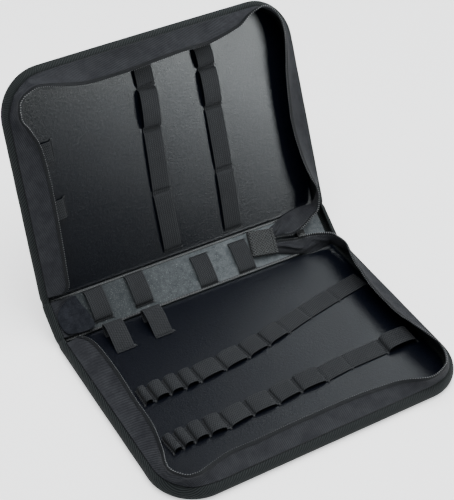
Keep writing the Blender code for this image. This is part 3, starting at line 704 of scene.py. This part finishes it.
def elastic_material():
    """Woven elastic: ribs along the strap and fine cross threads."""
    r = Recipe("elastic", roughness=0.76, sheen=0.03, specular=0.035)
    rib = r.wave(r.v, ELASTIC_RIB)
    pick = r.wave(r.math("ADD", r.u, r.math("MULTIPLY", r.v, 0.35)), ELASTIC_PICK)
    fine = r.noise(1600, 2.0)
    patch = r.noise(60, 2.0)
    weave = r.math("ADD", r.math("MULTIPLY", rib, 0.45), r.math("MULTIPLY", pick, 0.55))
    tint = r.mix(weave, (0.0034, 0.0038, 0.0048), (0.0280, 0.0298, 0.0322))
    toned = r.mix(r.span(patch, 0.3, 0.7, 0.0, 0.4), tint, (0.0085, 0.0090, 0.0105))
    r.colour(r.mix(r.span(fine, 0.5, 0.75, 0.0, 0.45), toned, (0.0420, 0.0435, 0.0450)))
    r.bump(weave, 0.00040, 0.9)
    return r.material


def webbing_material():
    """Coarse basket-woven webbing with pale flecks."""
    r = Recipe("webbing", roughness=0.7, sheen=0.03, specular=0.08)
    warp = r.wave(r.math("ADD", r.u, r.v), BASKET)
    weft = r.wave(r.math("SUBTRACT", r.u, r.v), BASKET)
    weave = r.math("MAXIMUM", r.math("MULTIPLY", warp, warp), r.math("MULTIPLY", weft, weft))
    fine = r.noise(1400, 3.0, 0.65)
    tint = r.mix(weave, (0.0020, 0.0024, 0.0030), (0.0330, 0.0350, 0.0360))
    r.colour(r.mix(r.span(fine, 0.52, 0.68, 0.0, 0.6), tint, (0.1100, 0.1150, 0.1150)))
    r.bump(weave, 0.0008, 1.0)
    r.bump(fine, 0.0003, 0.5)
    return r.material


def tape_material():
    """Zip tape: narrow herringbone rows."""
    r = Recipe("zip_tape", roughness=0.75, specular=0.06)
    row = r.wave(r.v, TAPE_ROW)
    step = r.wave(r.math("ADD", r.u, r.math("MULTIPLY", row, 0.0006)), TAPE_STEP)
    fine = r.noise(1700, 2.0)
    tint = r.mix(r.math("MULTIPLY", row, step), (0.0030, 0.0034, 0.0044), (0.0150, 0.0160, 0.0175))
    r.colour(r.mix(r.span(fine, 0.5, 0.75, 0.0, 0.3), tint, (0.0240, 0.0250, 0.0265)))
    r.bump(r.math("ADD", row, step), 0.0003, 0.7)
    return r.material


def plain_material(name, low, high, scale, roughness, specular=0.5):
    """Thread, coil or enamel: two close tones over fine noise."""
    r = Recipe(name, roughness=roughness, specular=specular)
    grain = r.noise(scale, 3.0, 0.6)
    r.colour(r.mix(r.span(grain, 0.35, 0.65), low, high))
    r.bump(grain, 0.0001, 0.5)
    return r.material


MATERIALS = {
    "twill": twill_material(),
    "band_cloth": band_material(),
    "board": board_material(),
    # The felt's last number sets how strongly painted shade darkens it towards the left
    "felt": felt_material("felt", (0.048, 0.056, 0.061), (0.112, 0.124, 0.129), (0.240, 0.250, 0.246), 0.8),
    # The facing is felt in far darker tones than the spine's: painted shade for that end, which lies in
    # shadow
    "facing": felt_material("facing", (0.0050, 0.0058, 0.0080), (0.0165, 0.0180, 0.0225),
                            (0.036, 0.039, 0.045)),
    "elastic": elastic_material(),
    "webbing": webbing_material(),
    "tape": tape_material(),
    "coil": plain_material("coil", (0.080, 0.085, 0.090), (0.170, 0.176, 0.180), 900, 0.6, specular=0.15),
    "dark_coil": plain_material("dark_coil", (0.004, 0.0045, 0.006), (0.012, 0.013, 0.015), 900, 0.6,
                                specular=0.2),
    "ladder_thread": plain_material("ladder_thread", (0.007, 0.008, 0.009), (0.019, 0.021, 0.022), 2000, 0.8,
                                    specular=0.15),
    "enamel": plain_material("slider_enamel", (0.0005, 0.0006, 0.0008), (0.0016, 0.0017, 0.0020), 500, 0.35,
                             specular=0.05),
    "dark_thread": plain_material("dark_thread", (0.0020, 0.0022, 0.003), (0.0070, 0.0076, 0.009), 2500, 0.8,
                                  specular=0.1),
    "grey_thread": plain_material("grey_thread", (0.040, 0.043, 0.045), (0.090, 0.094, 0.094), 2500, 0.8,
                                  specular=0.1),
    "frayed_thread": plain_material("frayed_thread", (0.014, 0.015, 0.017), (0.040, 0.042, 0.044), 2500, 0.8,
                                    specular=0.1),
}


# Outer cover

def pinch(v):
    """How far the rim draws in where the cover folds."""
    return PINCH * (np.exp(-(v / PINCH_REACH) ** 2) + np.exp(-((v - SPINE) / PINCH_REACH) ** 2))


def half_rows(inset):
    """Depths and half widths down a half, from its fold to the far edge."""
    first = FOLD_RADIUS * math.tan(SPINE_TILT / 2)
    depths = [first * share for share in (0.15, 0.3, 0.5, 0.75)]
    depths += list(np.linspace(first, HALF_DEPTH - CORNER, SIDE_STEPS))
    wides = [HALF - inset] * len(depths)
    for step in range(1, CORNER_STEPS + 1):
        angle = math.pi / 2 * step / CORNER_STEPS
        depths.append(HALF_DEPTH - CORNER + (CORNER - inset) * math.sin(angle))
        wides.append(HALF - CORNER + (CORNER - inset) * math.cos(angle))
    return np.array(depths), np.array(wides)


def whole_rows(inset):
    """v and half width of rows over the base, spine and lid."""
    depths, wides = half_rows(inset)
    spine = np.linspace(0, SPINE, 25)
    v = np.concatenate([-depths[::-1], spine, SPINE + depths])
    return v, np.concatenate([wides[::-1], np.full(25, HALF - inset), wides])


def ring_of(inset):
    """Closed loop of x and v round the cover at an inset."""
    v, wide = whole_rows(inset)
    spread = np.linspace(-1, 1, COVER_COLUMNS + 1)
    x = np.concatenate([spread * wide[0], wide[1:], spread[::-1][1:] * wide[-1], -wide[1:-1][::-1]])
    height = np.concatenate([np.full(COVER_COLUMNS + 1, v[0]), v[1:], np.full(COVER_COLUMNS, v[-1]),
                             v[1:-1][::-1]])
    return x, height


def build_cover():
    """Twill cover with its padded rim, pinched at the folds."""
    profile = smooth_run([(row["inset"] * RIM_LIP, row["height"] * RIM_HEIGHT, 0) for row in RIM_SECTION],
                         RIM_STEPS)
    roll = lengths(profile)
    v, wide = whole_rows(profile[0][0])
    spread = np.linspace(-1, 1, COVER_COLUMNS + 1)
    x = wide[:, None] * spread
    rows = np.broadcast_to(v[:, None], x.shape)
    soft = COVER_SAG * rumple(x, rows, COVER_SAG_WAVE, 3.1) * (np.abs(x) < HALF * 0.93)
    grid = fold(x, rows, np.maximum(soft, 0))
    points = [grid.reshape(-1, 3)]
    flat = [np.stack([x, rows], -1).reshape(-1, 2)]
    columns = COVER_COLUMNS + 1
    faces = grid_faces(len(v), columns)
    last = len(v) - 1
    edge = list(range(columns)) + [r * columns + columns - 1 for r in range(1, last)]
    edge += [last * columns + c for c in reversed(range(columns))]
    edge += [r * columns for r in range(last - 1, 0, -1)]
    count = len(v) * columns
    for (inset, height, _), length in list(zip(profile, roll))[1:]:
        x, rows = ring_of(inset)
        out_x, out_v = ring_of(-length)
        share = math.sin(math.pi * min(height / RIM_HEIGHT, 1)) ** 0.5 if height > 0 else 0
        lump = RIM_LUMP * rumple(x, rows, RIM_LUMP_WAVE, 7.7) * share
        draw = pinch(rows) * share
        place = fold(x - np.sign(x) * (draw + lump), rows, height - draw * 0.35)
        ring = [count + i for i in range(len(place))]
        for i in range(len(ring)):
            j = (i + 1) % len(ring)
            faces.append((edge[i], edge[j], ring[j], ring[i]))
        points.append(place)
        flat.append(np.stack([out_x, out_v], -1))
        count += len(ring)
        edge = ring
    item = mesh_object("cover_twill", np.vstack(points), faces, np.vstack(flat))
    shape = bmesh.new()
    shape.from_mesh(item.data)
    bmesh.ops.recalc_face_normals(shape, faces=shape.faces)
    lowest = min(shape.faces, key=lambda face: face.calc_center_median().z)
    if lowest.normal.z > 0:
        bmesh.ops.reverse_faces(shape, faces=shape.faces)
    shape.to_mesh(item.data)
    shape.free()
    solid = item.modifiers.new("thickness", "SOLIDIFY")
    solid.thickness = COVER
    solid.offset = -1.0
    solid.use_even_offset = True
    solid.use_quality_normals = True
    settle(item)
    finish_piece(item, MATERIALS["twill"], ["outer_cover"])


# Boards and felt

def build_boards():
    """Smooth boards inside the two halves."""
    for half in ("base", "lid"):
        depths, wides = half_rows(BOARD_INSET)
        keep = depths > BOARD_TO_FOLD * 1.5
        depths = np.concatenate([[BOARD_TO_FOLD], depths[keep]])
        wides = np.concatenate([[HALF - BOARD_INSET], wides[keep]])
        x = wides[:, None] * np.linspace(-1, 1, COVER_COLUMNS + 1)
        deep = np.broadcast_to(depths[:, None], x.shape)
        grid = on_half(half, x, deep, LINING_FLOOR + BOARD / 2)
        item = cloth(half + "_board_smooth", grid, np.stack([x, deep], -1), BOARD)
        finish_piece(item, MATERIALS["board"], [half + "_board"])


def build_spine_lining():
    """Felt over the spine, its two long edges bound and overcast."""
    half = HALF - FELT_INSET
    v = np.linspace(FELT_TO_FOLD, SPINE - FELT_TO_FOLD, FELT_ROWS)
    x = np.linspace(-half, half, FELT_COLUMNS)
    x, v = np.meshgrid(x, v)
    fluff = FELT_FLUFF * rumple(x, v, FELT_FLUFF_WAVE, 1.3)
    grid = fold(x, v, LINING_FLOOR + FELT / 2 + fluff)
    item = cloth("spine_felt", grid, np.stack([x, v], -1), FELT)
    finish_piece(item, MATERIALS["felt"], ["spine_lining"])
    for name, edge, inward in (("low", FELT_TO_FOLD, 1), ("high", SPINE - FELT_TO_FOLD, -1)):
        x, share = np.meshgrid(np.linspace(-half, half, FELT_COLUMNS), np.linspace(0, 1, 5))
        v = edge + inward * EDGE_TAPE * share
        grid = fold(x, v, FELT_TOP + BINDING_LIFT + BINDING_LIFT * np.sin(share * math.pi))
        item = cloth(f"felt_binding_{name}", grid, np.stack([x, v], -1), BINDING)
        finish_piece(item, MATERIALS["dark_coil"])
        stations = np.arange(-half + 0.002, half - 0.004, OVERCAST_PITCH)
        level = FELT_TOP + OVERCAST_LIFT
        starts = fold(stations, edge + inward * EDGE_TAPE * 0.15, level)
        ends = fold(stations + OVERCAST_SLANT, edge + inward * EDGE_TAPE * 0.85, level)
        ups = fold(stations, edge, FELT_TOP + 0.01) - starts
        item = threads(f"felt_overcast_{name}", starts, ends, ups, OVERCAST_THREAD)
        finish_piece(item, MATERIALS["grey_thread"])


# Side bands and zip

def rim_place(on, at, inset):
    """x and depth of a point inside the rim, on a named stretch of a half."""
    straight = HALF_DEPTH - CORNER
    if on in ("left", "right"):
        side = -1 if on == "left" else 1
        return side * (HALF - inset), straight * at
    if on == "far":
        return (WIDTH - 2 * CORNER) * (at - 0.5), HALF_DEPTH - inset
    side = -1 if on == "corner_left" else 1
    angle = math.pi / 2 * at
    x = side * (HALF - CORNER + (CORNER - inset) * math.cos(angle))
    return x, straight + (CORNER - inset) * math.sin(angle)


def band_edges(half, sections, tail):
    """Seam edge and free edge of a side band, from the zip's end round to the left."""
    seam = []
    free = []
    for row in tail:
        seam.append(on_spine(row["seam_x"] * HALF, row["seam_v"] * SPINE, row["seam_n"] * BAND_WIDTH))
        free.append(on_spine(row["zip_x"] * HALF, row["zip_v"] * SPINE, row["zip_n"] * BAND_WIDTH))
    for row in sections:
        x, deep = rim_place(row["on"], row["at"], SEAM_INSET)
        seam.append(on_half(half, x, deep, SEAM_HEIGHT))
        x, deep = rim_place(row["on"], row["at"], SEAM_INSET + row["reach"] * BAND_WIDTH)
        free.append(on_half(half, x, deep, SEAM_HEIGHT + row["rise"] * BAND_WIDTH))
    return smooth_run(seam, BAND_STEPS), smooth_run(free, BAND_STEPS)


def crease(run, wide, row):
    """Height of a sharp fold line across flat cloth, tapering to its ends."""
    start, end = np.array(row["start"]), np.array(row["end"])
    length = np.linalg.norm(end - start)
    ahead = (end - start) / length
    along = (run - start[0]) * ahead[0] + (wide - start[1]) * ahead[1]
    away = np.abs((run - start[0]) * -ahead[1] + (wide - start[1]) * ahead[0])
    taper = np.clip(np.minimum(along, length - along) / (length * 0.3) + 0.25, 0, 1)
    return row["height"] * taper * np.clip(1 - away / row["reach"], 0, 1)


def build_band(half, sections, tail):
    """Soft cloth band with its wrinkles and folds, its seam, and the zip's tape and coil on its free edge."""
    seam, free = band_edges(half, sections, tail)
    across = free - seam
    width = np.linalg.norm(across, axis=1, keepdims=True)
    along = np.gradient(seam, axis=0)
    crown_side = 1 if half == "base" else -1
    outward = unit(np.cross(along, across)) * crown_side
    run = lengths((seam + free) / 2)
    share = np.linspace(0, 1, BAND_COLUMNS)[None, :, None]
    cloth_end = 1 - (ZIP_TAPE + CLEARANCE) / width[:, :, None]
    arc = 4 * share * (1 - share)
    seed = 11.0 if half == "base" else 17.0
    tail_run = run[len(tail) * BAND_STEPS]
    loose = np.clip(1.3 - run / (tail_run * 1.6), 0, 1)[:, None]
    wide = share[:, :, 0] * BAND_WIDTH
    creases = rumple(run[:, None], wide * 0.35, CLOTH_CREASE_WAVE, seed)
    creases = creases * (CLOTH_CREASE + LOOSE_CLOTH * loose)
    waves = rumple(run[:, None], wide * 0.3, CLOTH_WAVE_LENGTH, seed + 2)
    waves = waves * (CLOTH_WAVE + LOOSE_CLOTH * loose)
    corner = run[int((len(tail) + CORNER_SECTION) * BAND_STEPS)]
    near_corner = np.exp(-((run - corner) / CORNER_CRUMPLE_REACH) ** 2)[:, None]
    ridges = 1 - 2 * np.abs(rumple(run[:, None], wide * 0.8, RIDGE_WAVE, seed + 5))
    crumples = ridges * (RIDGE + CORNER_RIDGE * near_corner)
    folds = sum(crease(run[:, None], wide, row) for row in TAIL_CREASES[half])
    edge_hold = np.clip(share[:, :, 0] / 0.12, 0, 1)
    lift = (creases + waves + crumples + folds) * edge_hold
    grid = seam[:, None] + across[:, None] * share * cloth_end
    grid = grid + outward[:, None] * (BAND_CROWN * arc + lift[:, :, None])
    item = cloth(half + "_band_cloth", grid, flat_grid(grid), BAND_CLOTH * 0.75)
    finish_piece(item, MATERIALS["band_cloth"], [half + "_band"])
    reach = unit(across)
    edge_lift = outward * lift[:, -1:]
    inner = free - reach * (ZIP_TAPE + TAPE_UNDER) + edge_lift - outward * TAPE_DROP
    outer = free - reach * TAPE_TO_TEETH + edge_lift
    tape = np.stack([inner + (outer - inner) * part for part in (0, 0.33, 0.67, 1)], axis=1)
    item = cloth(half + "_zip_tape", tape, flat_grid(tape), TAPE)
    finish_piece(item, MATERIALS["tape"], [half + "_zip"])
    edge_run = lengths(outer)
    slider_run = edge_run[int(SLIDER_SECTION * BAND_STEPS)]
    runs = (("closed", "dark_coil", 0.001, slider_run), ("open", "coil", slider_run, edge_run[-1] - 0.001))
    for name, look, first, last in runs:
        stations = np.arange(first, last, TOOTH_PITCH)
        up = np.stack([np.interp(stations, edge_run, outward[:, axis]) for axis in range(3)], -1)
        into = np.stack([np.interp(stations, edge_run, reach[:, axis]) for axis in range(3)], -1)
        middle = along_run(outer, stations)
        beyond = along_run(outer, stations + TOOTH_SLANT)
        item = threads(f"{half}_zip_coil_{name}", middle - into * TOOTH_REACH + up * 0.0003,
                       beyond + into * 0.0003 + up * 0.0001, up, TOOTH_RADIUS, hump=0.8)
        finish_piece(item, MATERIALS[look])
    hem = grid[:, -1] + outward * (BAND_CLOTH * 0.4) - reach * 0.0009
    starts, ends, ups = stitch_line(hem, outward, HEM_PITCH, HEM_STITCH)
    item = threads(half + "_zip_stitches", starts, ends, ups, HEM_THREAD)
    finish_piece(item, MATERIALS["grey_thread"])
    seam_line = grid[:, 1] * 0.45 + grid[:, 0] * 0.55 + outward * (BAND_CLOTH * 0.4)
    starts, ends, ups = stitch_line(seam_line[len(tail) * BAND_STEPS:], outward[len(tail) * BAND_STEPS:],
                                    SEAM_PITCH, SEAM_STITCH)
    item = threads(half + "_seam_stitches", starts, ends, ups, THREAD)
    finish_piece(item, MATERIALS["dark_thread"])
    if half == "base":
        first, last = (int((len(tail) + row) * BAND_STEPS) for row in LADDER_SECTIONS)
        stations = np.arange(run[first], run[last], LADDER_PITCH)
        low, high, up = (np.stack([np.interp(stations, run, part[:, axis]) for axis in range(3)], -1)
                         for part in (grid[:, 0], grid[:, LADDER_COLUMN], outward))
        item = threads("rim_ladder_stitches", low + up * LADDER_LIFT, high + up * LADDER_LIFT, up,
                       LADDER_RADIUS, hump=0.6)
        finish_piece(item, MATERIALS["ladder_thread"])
    # Dark cord along the band's seam to the rim: painted shade for the slit between rim and band
    root = seam[len(tail) * BAND_STEPS:] + outward[len(tail) * BAND_STEPS:] * 0.0004
    item = tube(half + "_seam_shade_cord", root, SEAM_SHADE_CORD)
    finish_piece(item, MATERIALS["dark_thread"])


# Elastic loops

def arch(start, end, height):
    """Shares and heights of one loop between two stitched feet."""
    points = [(0.0, 0.0)]
    flat = min(FOOT / np.linalg.norm(end - start), 0.2)
    for step in range(ARCH_STEPS + 1):
        angle = math.pi * step / ARCH_STEPS
        rise = height * LOOP_SLACK * math.sin(angle) ** 0.5 if 0 < step < ARCH_STEPS else 0.0
        points.append((flat + (1 - 2 * flat) * (1 - math.cos(angle)) / 2, rise))
    return points


def strap(name, feet, place, floor, knots=-1):
    """Elastic sewn down at its feet, with bars of thread and loose ends there."""
    level = floor + CLEARANCE + ELASTIC_THICK / 2
    path = []
    rises = []
    for (start, height), (end, _) in zip(feet, feet[1:]):
        for share, rise in arch(start, end, height):
            path.append(start + (end - start) * share)
            rises.append(rise)
    path.append(feet[-1][0])
    rises.append(0.0)
    path = np.array(path)
    rises = np.array(rises)
    ahead = np.vstack([path[1:], path[-1:]]) - np.vstack([path[:1], path[:-1]])
    ahead = unit(ahead)
    side = np.stack([-ahead[:, 1], ahead[:, 0]], -1)
    across = np.linspace(-0.5, 0.5, STRAP_COLUMNS)
    flat_x = path[:, None, 0] + side[:, None, 0] * across * ELASTIC
    flat_y = path[:, None, 1] + side[:, None, 1] * across * ELASTIC
    curl = LOOP_CURL * (2 * np.abs(across)) ** 3
    lift = rises[:, None] + curl * np.clip(rises[:, None] / LOOP_HEIGHT, 0, 1)
    grid = place(flat_x, flat_y, level + lift)
    item = cloth(name + "_elastic", grid, flat_grid(grid), ELASTIC_THICK * STRAP_SKIN)
    finish_piece(item, MATERIALS["elastic"], [name])
    bars(name, feet, place, level, knots)


def bars(name, feet, place, level, knots):
    """Thread bars across each foot, with frayed ends past the edge on the knots' side."""
    starts, ends, ups = [], [], []
    knot_starts, knot_ends, knot_ups = [], [], []
    for i, (foot, _) in enumerate(feet):
        other = feet[i + 1][0] if i + 1 < len(feet) else feet[i - 1][0]
        ahead = unit(other - foot) * (1 if i + 1 < len(feet) else -1)
        side = np.array([-ahead[1], ahead[0]])
        top = level + ELASTIC_THICK * 0.42
        shift = ahead * 0.0006 * (1 if i == 0 else -1 if i == len(feet) - 1 else 0)
        for step in range(BAR_STITCHES):
            low = (step / BAR_STITCHES - 0.5) * ELASTIC * BAR_WIDTH_SHARE
            high = ((step + BAR_STITCH_SHARE) / BAR_STITCHES - 0.5) * ELASTIC * BAR_WIDTH_SHARE
            a = foot + shift + side * low
            b = foot + shift + side * high
            starts.append(place(a[0], a[1], top))
            ends.append(place(b[0], b[1], top))
            ups.append(place(a[0], a[1], top + 0.01) - starts[-1])
        for fray in FRAYS:
            size = fray["reach"]
            tip = foot + shift + side * knots * (ELASTIC / 2 + size) + ahead * fray["lean"] * size
            root = foot + shift + side * knots * (ELASTIC / 2 - 0.0008)
            knot_starts.append(place(root[0], root[1], top))
            knot_ends.append(place(tip[0], tip[1], top - 0.0004))
            knot_ups.append(ups[-1])
    item = threads(name + "_bars", starts, ends, ups, BAR_THREAD)
    finish_piece(item, MATERIALS["dark_thread"])
    item = threads(name + "_knots", knot_starts, knot_ends, knot_ups, FRAY_THREAD, hump=1.4, sink=0.2)
    finish_piece(item, MATERIALS["frayed_thread"])


def table_feet(table):
    """Feet of a strap and the height of the loop after each."""
    return [(np.array([row["x"] * HALF, row["deep"] * HALF_DEPTH]), row["loop"] * LOOP_HEIGHT)
            for row in table]


def on_base(x, deep, n):
    return on_half("base", x, deep, n)


def on_lid(x, deep, n):
    return on_half("lid", x, deep, n)


def build_elastics():
    """All the elastic loops and straps."""
    strap("base_loops_back", table_feet(BACK_ROW), on_base, BOARD_TOP, knots=1)
    strap("base_loops_front", table_feet(FRONT_ROW), on_base, BOARD_TOP, knots=1)
    for name, table in LID_STRAPS.items():
        strap(name, table_feet(table), on_lid, BOARD_TOP)
    for number, row in enumerate(SIDE_LOOPS, 1):
        ends = [np.array([row[end] * HALF, row["deep"] * HALF_DEPTH]) for end in ("end", "start")]
        feet = [(ends[0], row["loop"] * LOOP_HEIGHT), (ends[1], 0.0)]
        strap(f"lid_side_loop_{number}", feet, on_lid, BOARD_TOP)
    for number, row in enumerate(SPINE_LOOPS, 1):
        ends = [np.array([row["x"] * HALF, row[end] * SPINE]) for end in ("start", "end")]
        feet = [(ends[0], row["loop"] * LOOP_HEIGHT), (ends[1], 0.0)]
        strap(f"spine_loop_{number}", feet, fold, FELT_TOP)
    level = BOARD_TOP + CLEARANCE + ELASTIC_THICK / 2
    profile = smooth_run([(row["deep"] * HALF_DEPTH, row["rise"] * TAB_HEIGHT, 0)
                          for row in TAB_PROFILE], 5)
    profile[:, 1] = np.maximum(profile[:, 1], 0)
    for number, row in enumerate(TAB_LOOPS, 1):
        x = row["x"] * HALF + np.linspace(-0.5, 0.5, STRAP_COLUMNS) * ELASTIC
        grid = on_half("base", x[None], profile[:, :1], level + profile[:, 1:2])
        item = cloth(f"tab_loop_{number}_elastic", grid, flat_grid(grid), ELASTIC_THICK * STRAP_SKIN)
        finish_piece(item, MATERIALS["elastic"], [f"tab_loop_{number}"])
        feet = [(np.array([row["x"] * HALF, TAB_PROFILE[0]["deep"] * HALF_DEPTH - inset]), 0)
                for inset in TAB_BARS]
        bars(f"tab_loop_{number}", feet, on_base, level, knots=1)


# Zip end, slider and spine end

def build_zip_end():
    """Webbing folded over the zip's end."""
    bottom = FELT_TOP + CLEARANCE + TAB_THICK / 2
    top = 0.37 * BAND_WIDTH + BAND_CLOTH + TAB_THICK / 2 + CLEARANCE
    middle, bulge = (bottom + top) / 2, (top - bottom) / 2
    half = TAB_LENGTH / 2
    path = [(x, bottom) for x in np.linspace(half, -half + bulge, 12)]
    path += [(-half + bulge - bulge * math.sin(a), middle - bulge * math.cos(a))
             for a in np.linspace(0, math.pi, 13)[1:-1]]
    path += [(x, top) for x in np.linspace(-half + bulge, half, 24)]
    path = np.array(path)
    side = np.linspace(-0.5, 0.5, 18)[None] * TAB_WIDTH
    along, n = path[:, :1], path[:, 1:]
    x = TAB_PLACE["x"] * HALF + along * math.cos(TAB_TURN) - side * math.sin(TAB_TURN)
    v = TAB_PLACE["v"] * SPINE + along * math.sin(TAB_TURN) + side * math.cos(TAB_TURN)
    sag = WEBBING_SAG * rumple(x, v, WEBBING_SAG_WAVE, 5.0)
    grid = on_spine(x, v, n + sag)
    item = cloth("zip_end_webbing", grid, flat_grid(grid), TAB_THICK)
    finish_piece(item, MATERIALS["webbing"], ["zip_end_tab"])
    line = grid[-4]
    lift = unit(on_spine(0, 0, 1) - on_spine(0, 0, 0))
    starts, ends, ups = stitch_line(line + lift * TAB_THICK * 0.5, np.broadcast_to(lift, line.shape),
                                    WEBBING_PITCH, WEBBING_STITCH)
    item = threads("zip_end_stitches", starts, ends, ups, WEBBING_THREAD)
    finish_piece(item, MATERIALS["dark_thread"])


def build_slider():
    """Enamelled slider: two rounded plates either side of the teeth, their post and a lug."""
    shape = bmesh.new()
    blocks = [(SLIDER_LENGTH, SLIDER_WIDTH, SLIDER_PLATE, 0, side * (SLIDER_GAP + SLIDER_PLATE / 2),
               SLIDER_TAPER) for side in (1, -1)]
    blocks.append((SLIDER_POST, SLIDER_POST_WIDTH, 2 * SLIDER_GAP + SLIDER_PLATE,
                   SLIDER_LENGTH / 2 - SLIDER_POST_INSET, 0, 1.0))
    blocks.append((SLIDER_LENGTH * SLIDER_LUG_SHARE, SLIDER_LUG_WIDTH, SLIDER_LUG, 0,
                   SLIDER_GAP + SLIDER_PLATE + 0.0005, 1.0))
    for length, width, height, shift, level, taper in blocks:
        block = bmesh.ops.create_cube(shape, size=1.0)
        for vert in block["verts"]:
            narrow = taper if vert.co.x < 0 else 1.0
            vert.co = Vector((vert.co.x * length + shift, vert.co.y * width * narrow,
                              vert.co.z * height + level))
    mesh = bpy.data.meshes.new("slider_body")
    shape.to_mesh(mesh)
    shape.free()
    mesh.attributes.new("flat", "FLOAT_VECTOR", "POINT")
    item = bpy.data.objects.new("slider_body", mesh)
    bpy.context.scene.collection.objects.link(item)
    edge = item.modifiers.new("edge", "BEVEL")
    edge.width = SLIDER_EDGE
    edge.segments = 4
    settle(item)
    place = on_spine(SLIDER_PLACE["x"] * HALF, SLIDER_PLACE["v"] * SPINE, SLIDER_PLACE["n"] * BAND_WIDTH)
    item.data.transform(Matrix.Translation(Vector(place)) @ Matrix.Rotation(SPINE_TILT, 4, "X"))
    finish_piece(item, MATERIALS["enamel"], ["zip_slider"])


def build_spine_end():
    """Cloth wall at the spine's left end, and its felt facing, darkened with painted shade."""
    outer = -(HALF - RIM_LIP - 2 * CLEARANCE)
    outline = smooth_run([(row["v"] * SPINE, row["outer"] * HALF, row["inner"] * HALF)
                          for row in FACING_OUTLINE], 6)
    share = np.linspace(0, 1, 18)[None]
    x = outline[:, 1:2] + (outline[:, 2:3] - outline[:, 1:2]) * share
    v = np.broadcast_to(outline[:, :1], x.shape)
    slope = (x - outer) / END_CLOTH_REACH
    height = FACING_OUTER + (FACING_INNER - FACING_OUTER) * slope
    grid = fold(x, v, height + FACING_LUMP * rumple(x, v, FACING_LUMP_WAVE, 9.0))
    item = cloth("spine_end_felt", grid, np.stack([x, v], -1), FACING)
    finish_piece(item, MATERIALS["facing"], ["spine_end_facing"])
    drop = FACING / 2 + BAND_CLOTH / 2 + 2 * CLEARANCE
    v, slope = np.meshgrid(np.linspace(0.06, 0.94, 30) * SPINE, np.linspace(0, 1, 16), indexing="ij")
    x = outer + END_CLOTH_REACH * slope
    height = FACING_OUTER + (FACING_INNER - FACING_OUTER) * slope - drop
    grid = fold(x, v, height)
    item = cloth("spine_end_cloth", grid, np.stack([x, v], -1), BAND_CLOTH)
    finish_piece(item, MATERIALS["band_cloth"], ["spine_end_gusset"])


# Stage, lights and camera

def area_light(row):
    """Soft box; a gloss-only one shows in reflections alone."""
    data = bpy.data.lights.new(row["name"], "AREA")
    data.shape = "RECTANGLE"
    data.size = data.size_y = row["size"]
    data.energy = row["power"]
    data.color = row["colour"]
    lamp = bpy.data.objects.new(row["name"], data)
    lamp.location = row["place"]
    lamp.visible_diffuse = not row["gloss_only"]
    lamp.rotation_euler = (Vector(row["aim"]) - Vector(row["place"])).to_track_quat("-Z", "Y").to_euler()
    bpy.context.scene.collection.objects.link(lamp)


def build_stage():
    """Pale floor, even sky and soft boxes."""
    bpy.ops.mesh.primitive_plane_add(size=FLOOR_SIZE)
    floor = bpy.context.object
    floor.name = "floor"
    floor.location.z = -FLOOR_GAP
    r = Recipe("floor_white", roughness=0.9, specular=0.1)
    r.colour(r.mix(r.span(r.noise(3), 0.3, 0.7), (0.86, 0.86, 0.86), (0.88, 0.88, 0.88)))
    r.shader.inputs["Emission Color"].default_value = (1, 1, 1, 1)
    r.shader.inputs["Emission Strength"].default_value = FLOOR_GLOW
    floor.data.materials.append(r.material)
    world = bpy.data.worlds.new("studio")
    bpy.context.scene.world = world
    world.use_nodes = True
    world.node_tree.nodes["Background"].inputs["Color"].default_value = (0.90, 0.95, 1.0, 1)
    world.node_tree.nodes["Background"].inputs["Strength"].default_value = SKY_STRENGTH
    for row in LIGHTS:
        area_light(row)


def build_camera():
    """Camera at the photo's angle."""
    azimuth, elevation, roll = (math.radians(CAMERA[angle]) for angle in ("azimuth", "elevation", "roll"))
    back = Vector((math.sin(azimuth) * math.cos(elevation), -math.cos(azimuth) * math.cos(elevation),
                   math.sin(elevation)))
    right = (-back).cross(Vector((0, 0, 1))).normalized()
    up = right.cross(-back)
    turned_right = right * math.cos(roll) + up * math.sin(roll)
    turned_up = up * math.cos(roll) - right * math.sin(roll)
    data = bpy.data.cameras.new("camera")
    data.lens = CAMERA["lens"]
    data.sensor_width = 36.0
    camera = bpy.data.objects.new("camera", data)
    pose = Matrix((turned_right, turned_up, back)).transposed().to_4x4()
    pose.translation = Vector(CAMERA["target"]) + back * CAMERA["distance"]
    camera.matrix_world = pose
    bpy.context.scene.collection.objects.link(camera)
    bpy.context.scene.camera = camera


build_camera()
build_stage()
build_cover()
build_boards()
build_spine_lining()
build_band("base", BASE_BAND, BASE_TAIL)
build_band("lid", LID_BAND, LID_TAIL)
build_elastics()
build_zip_end()
build_slider()
build_spine_end()
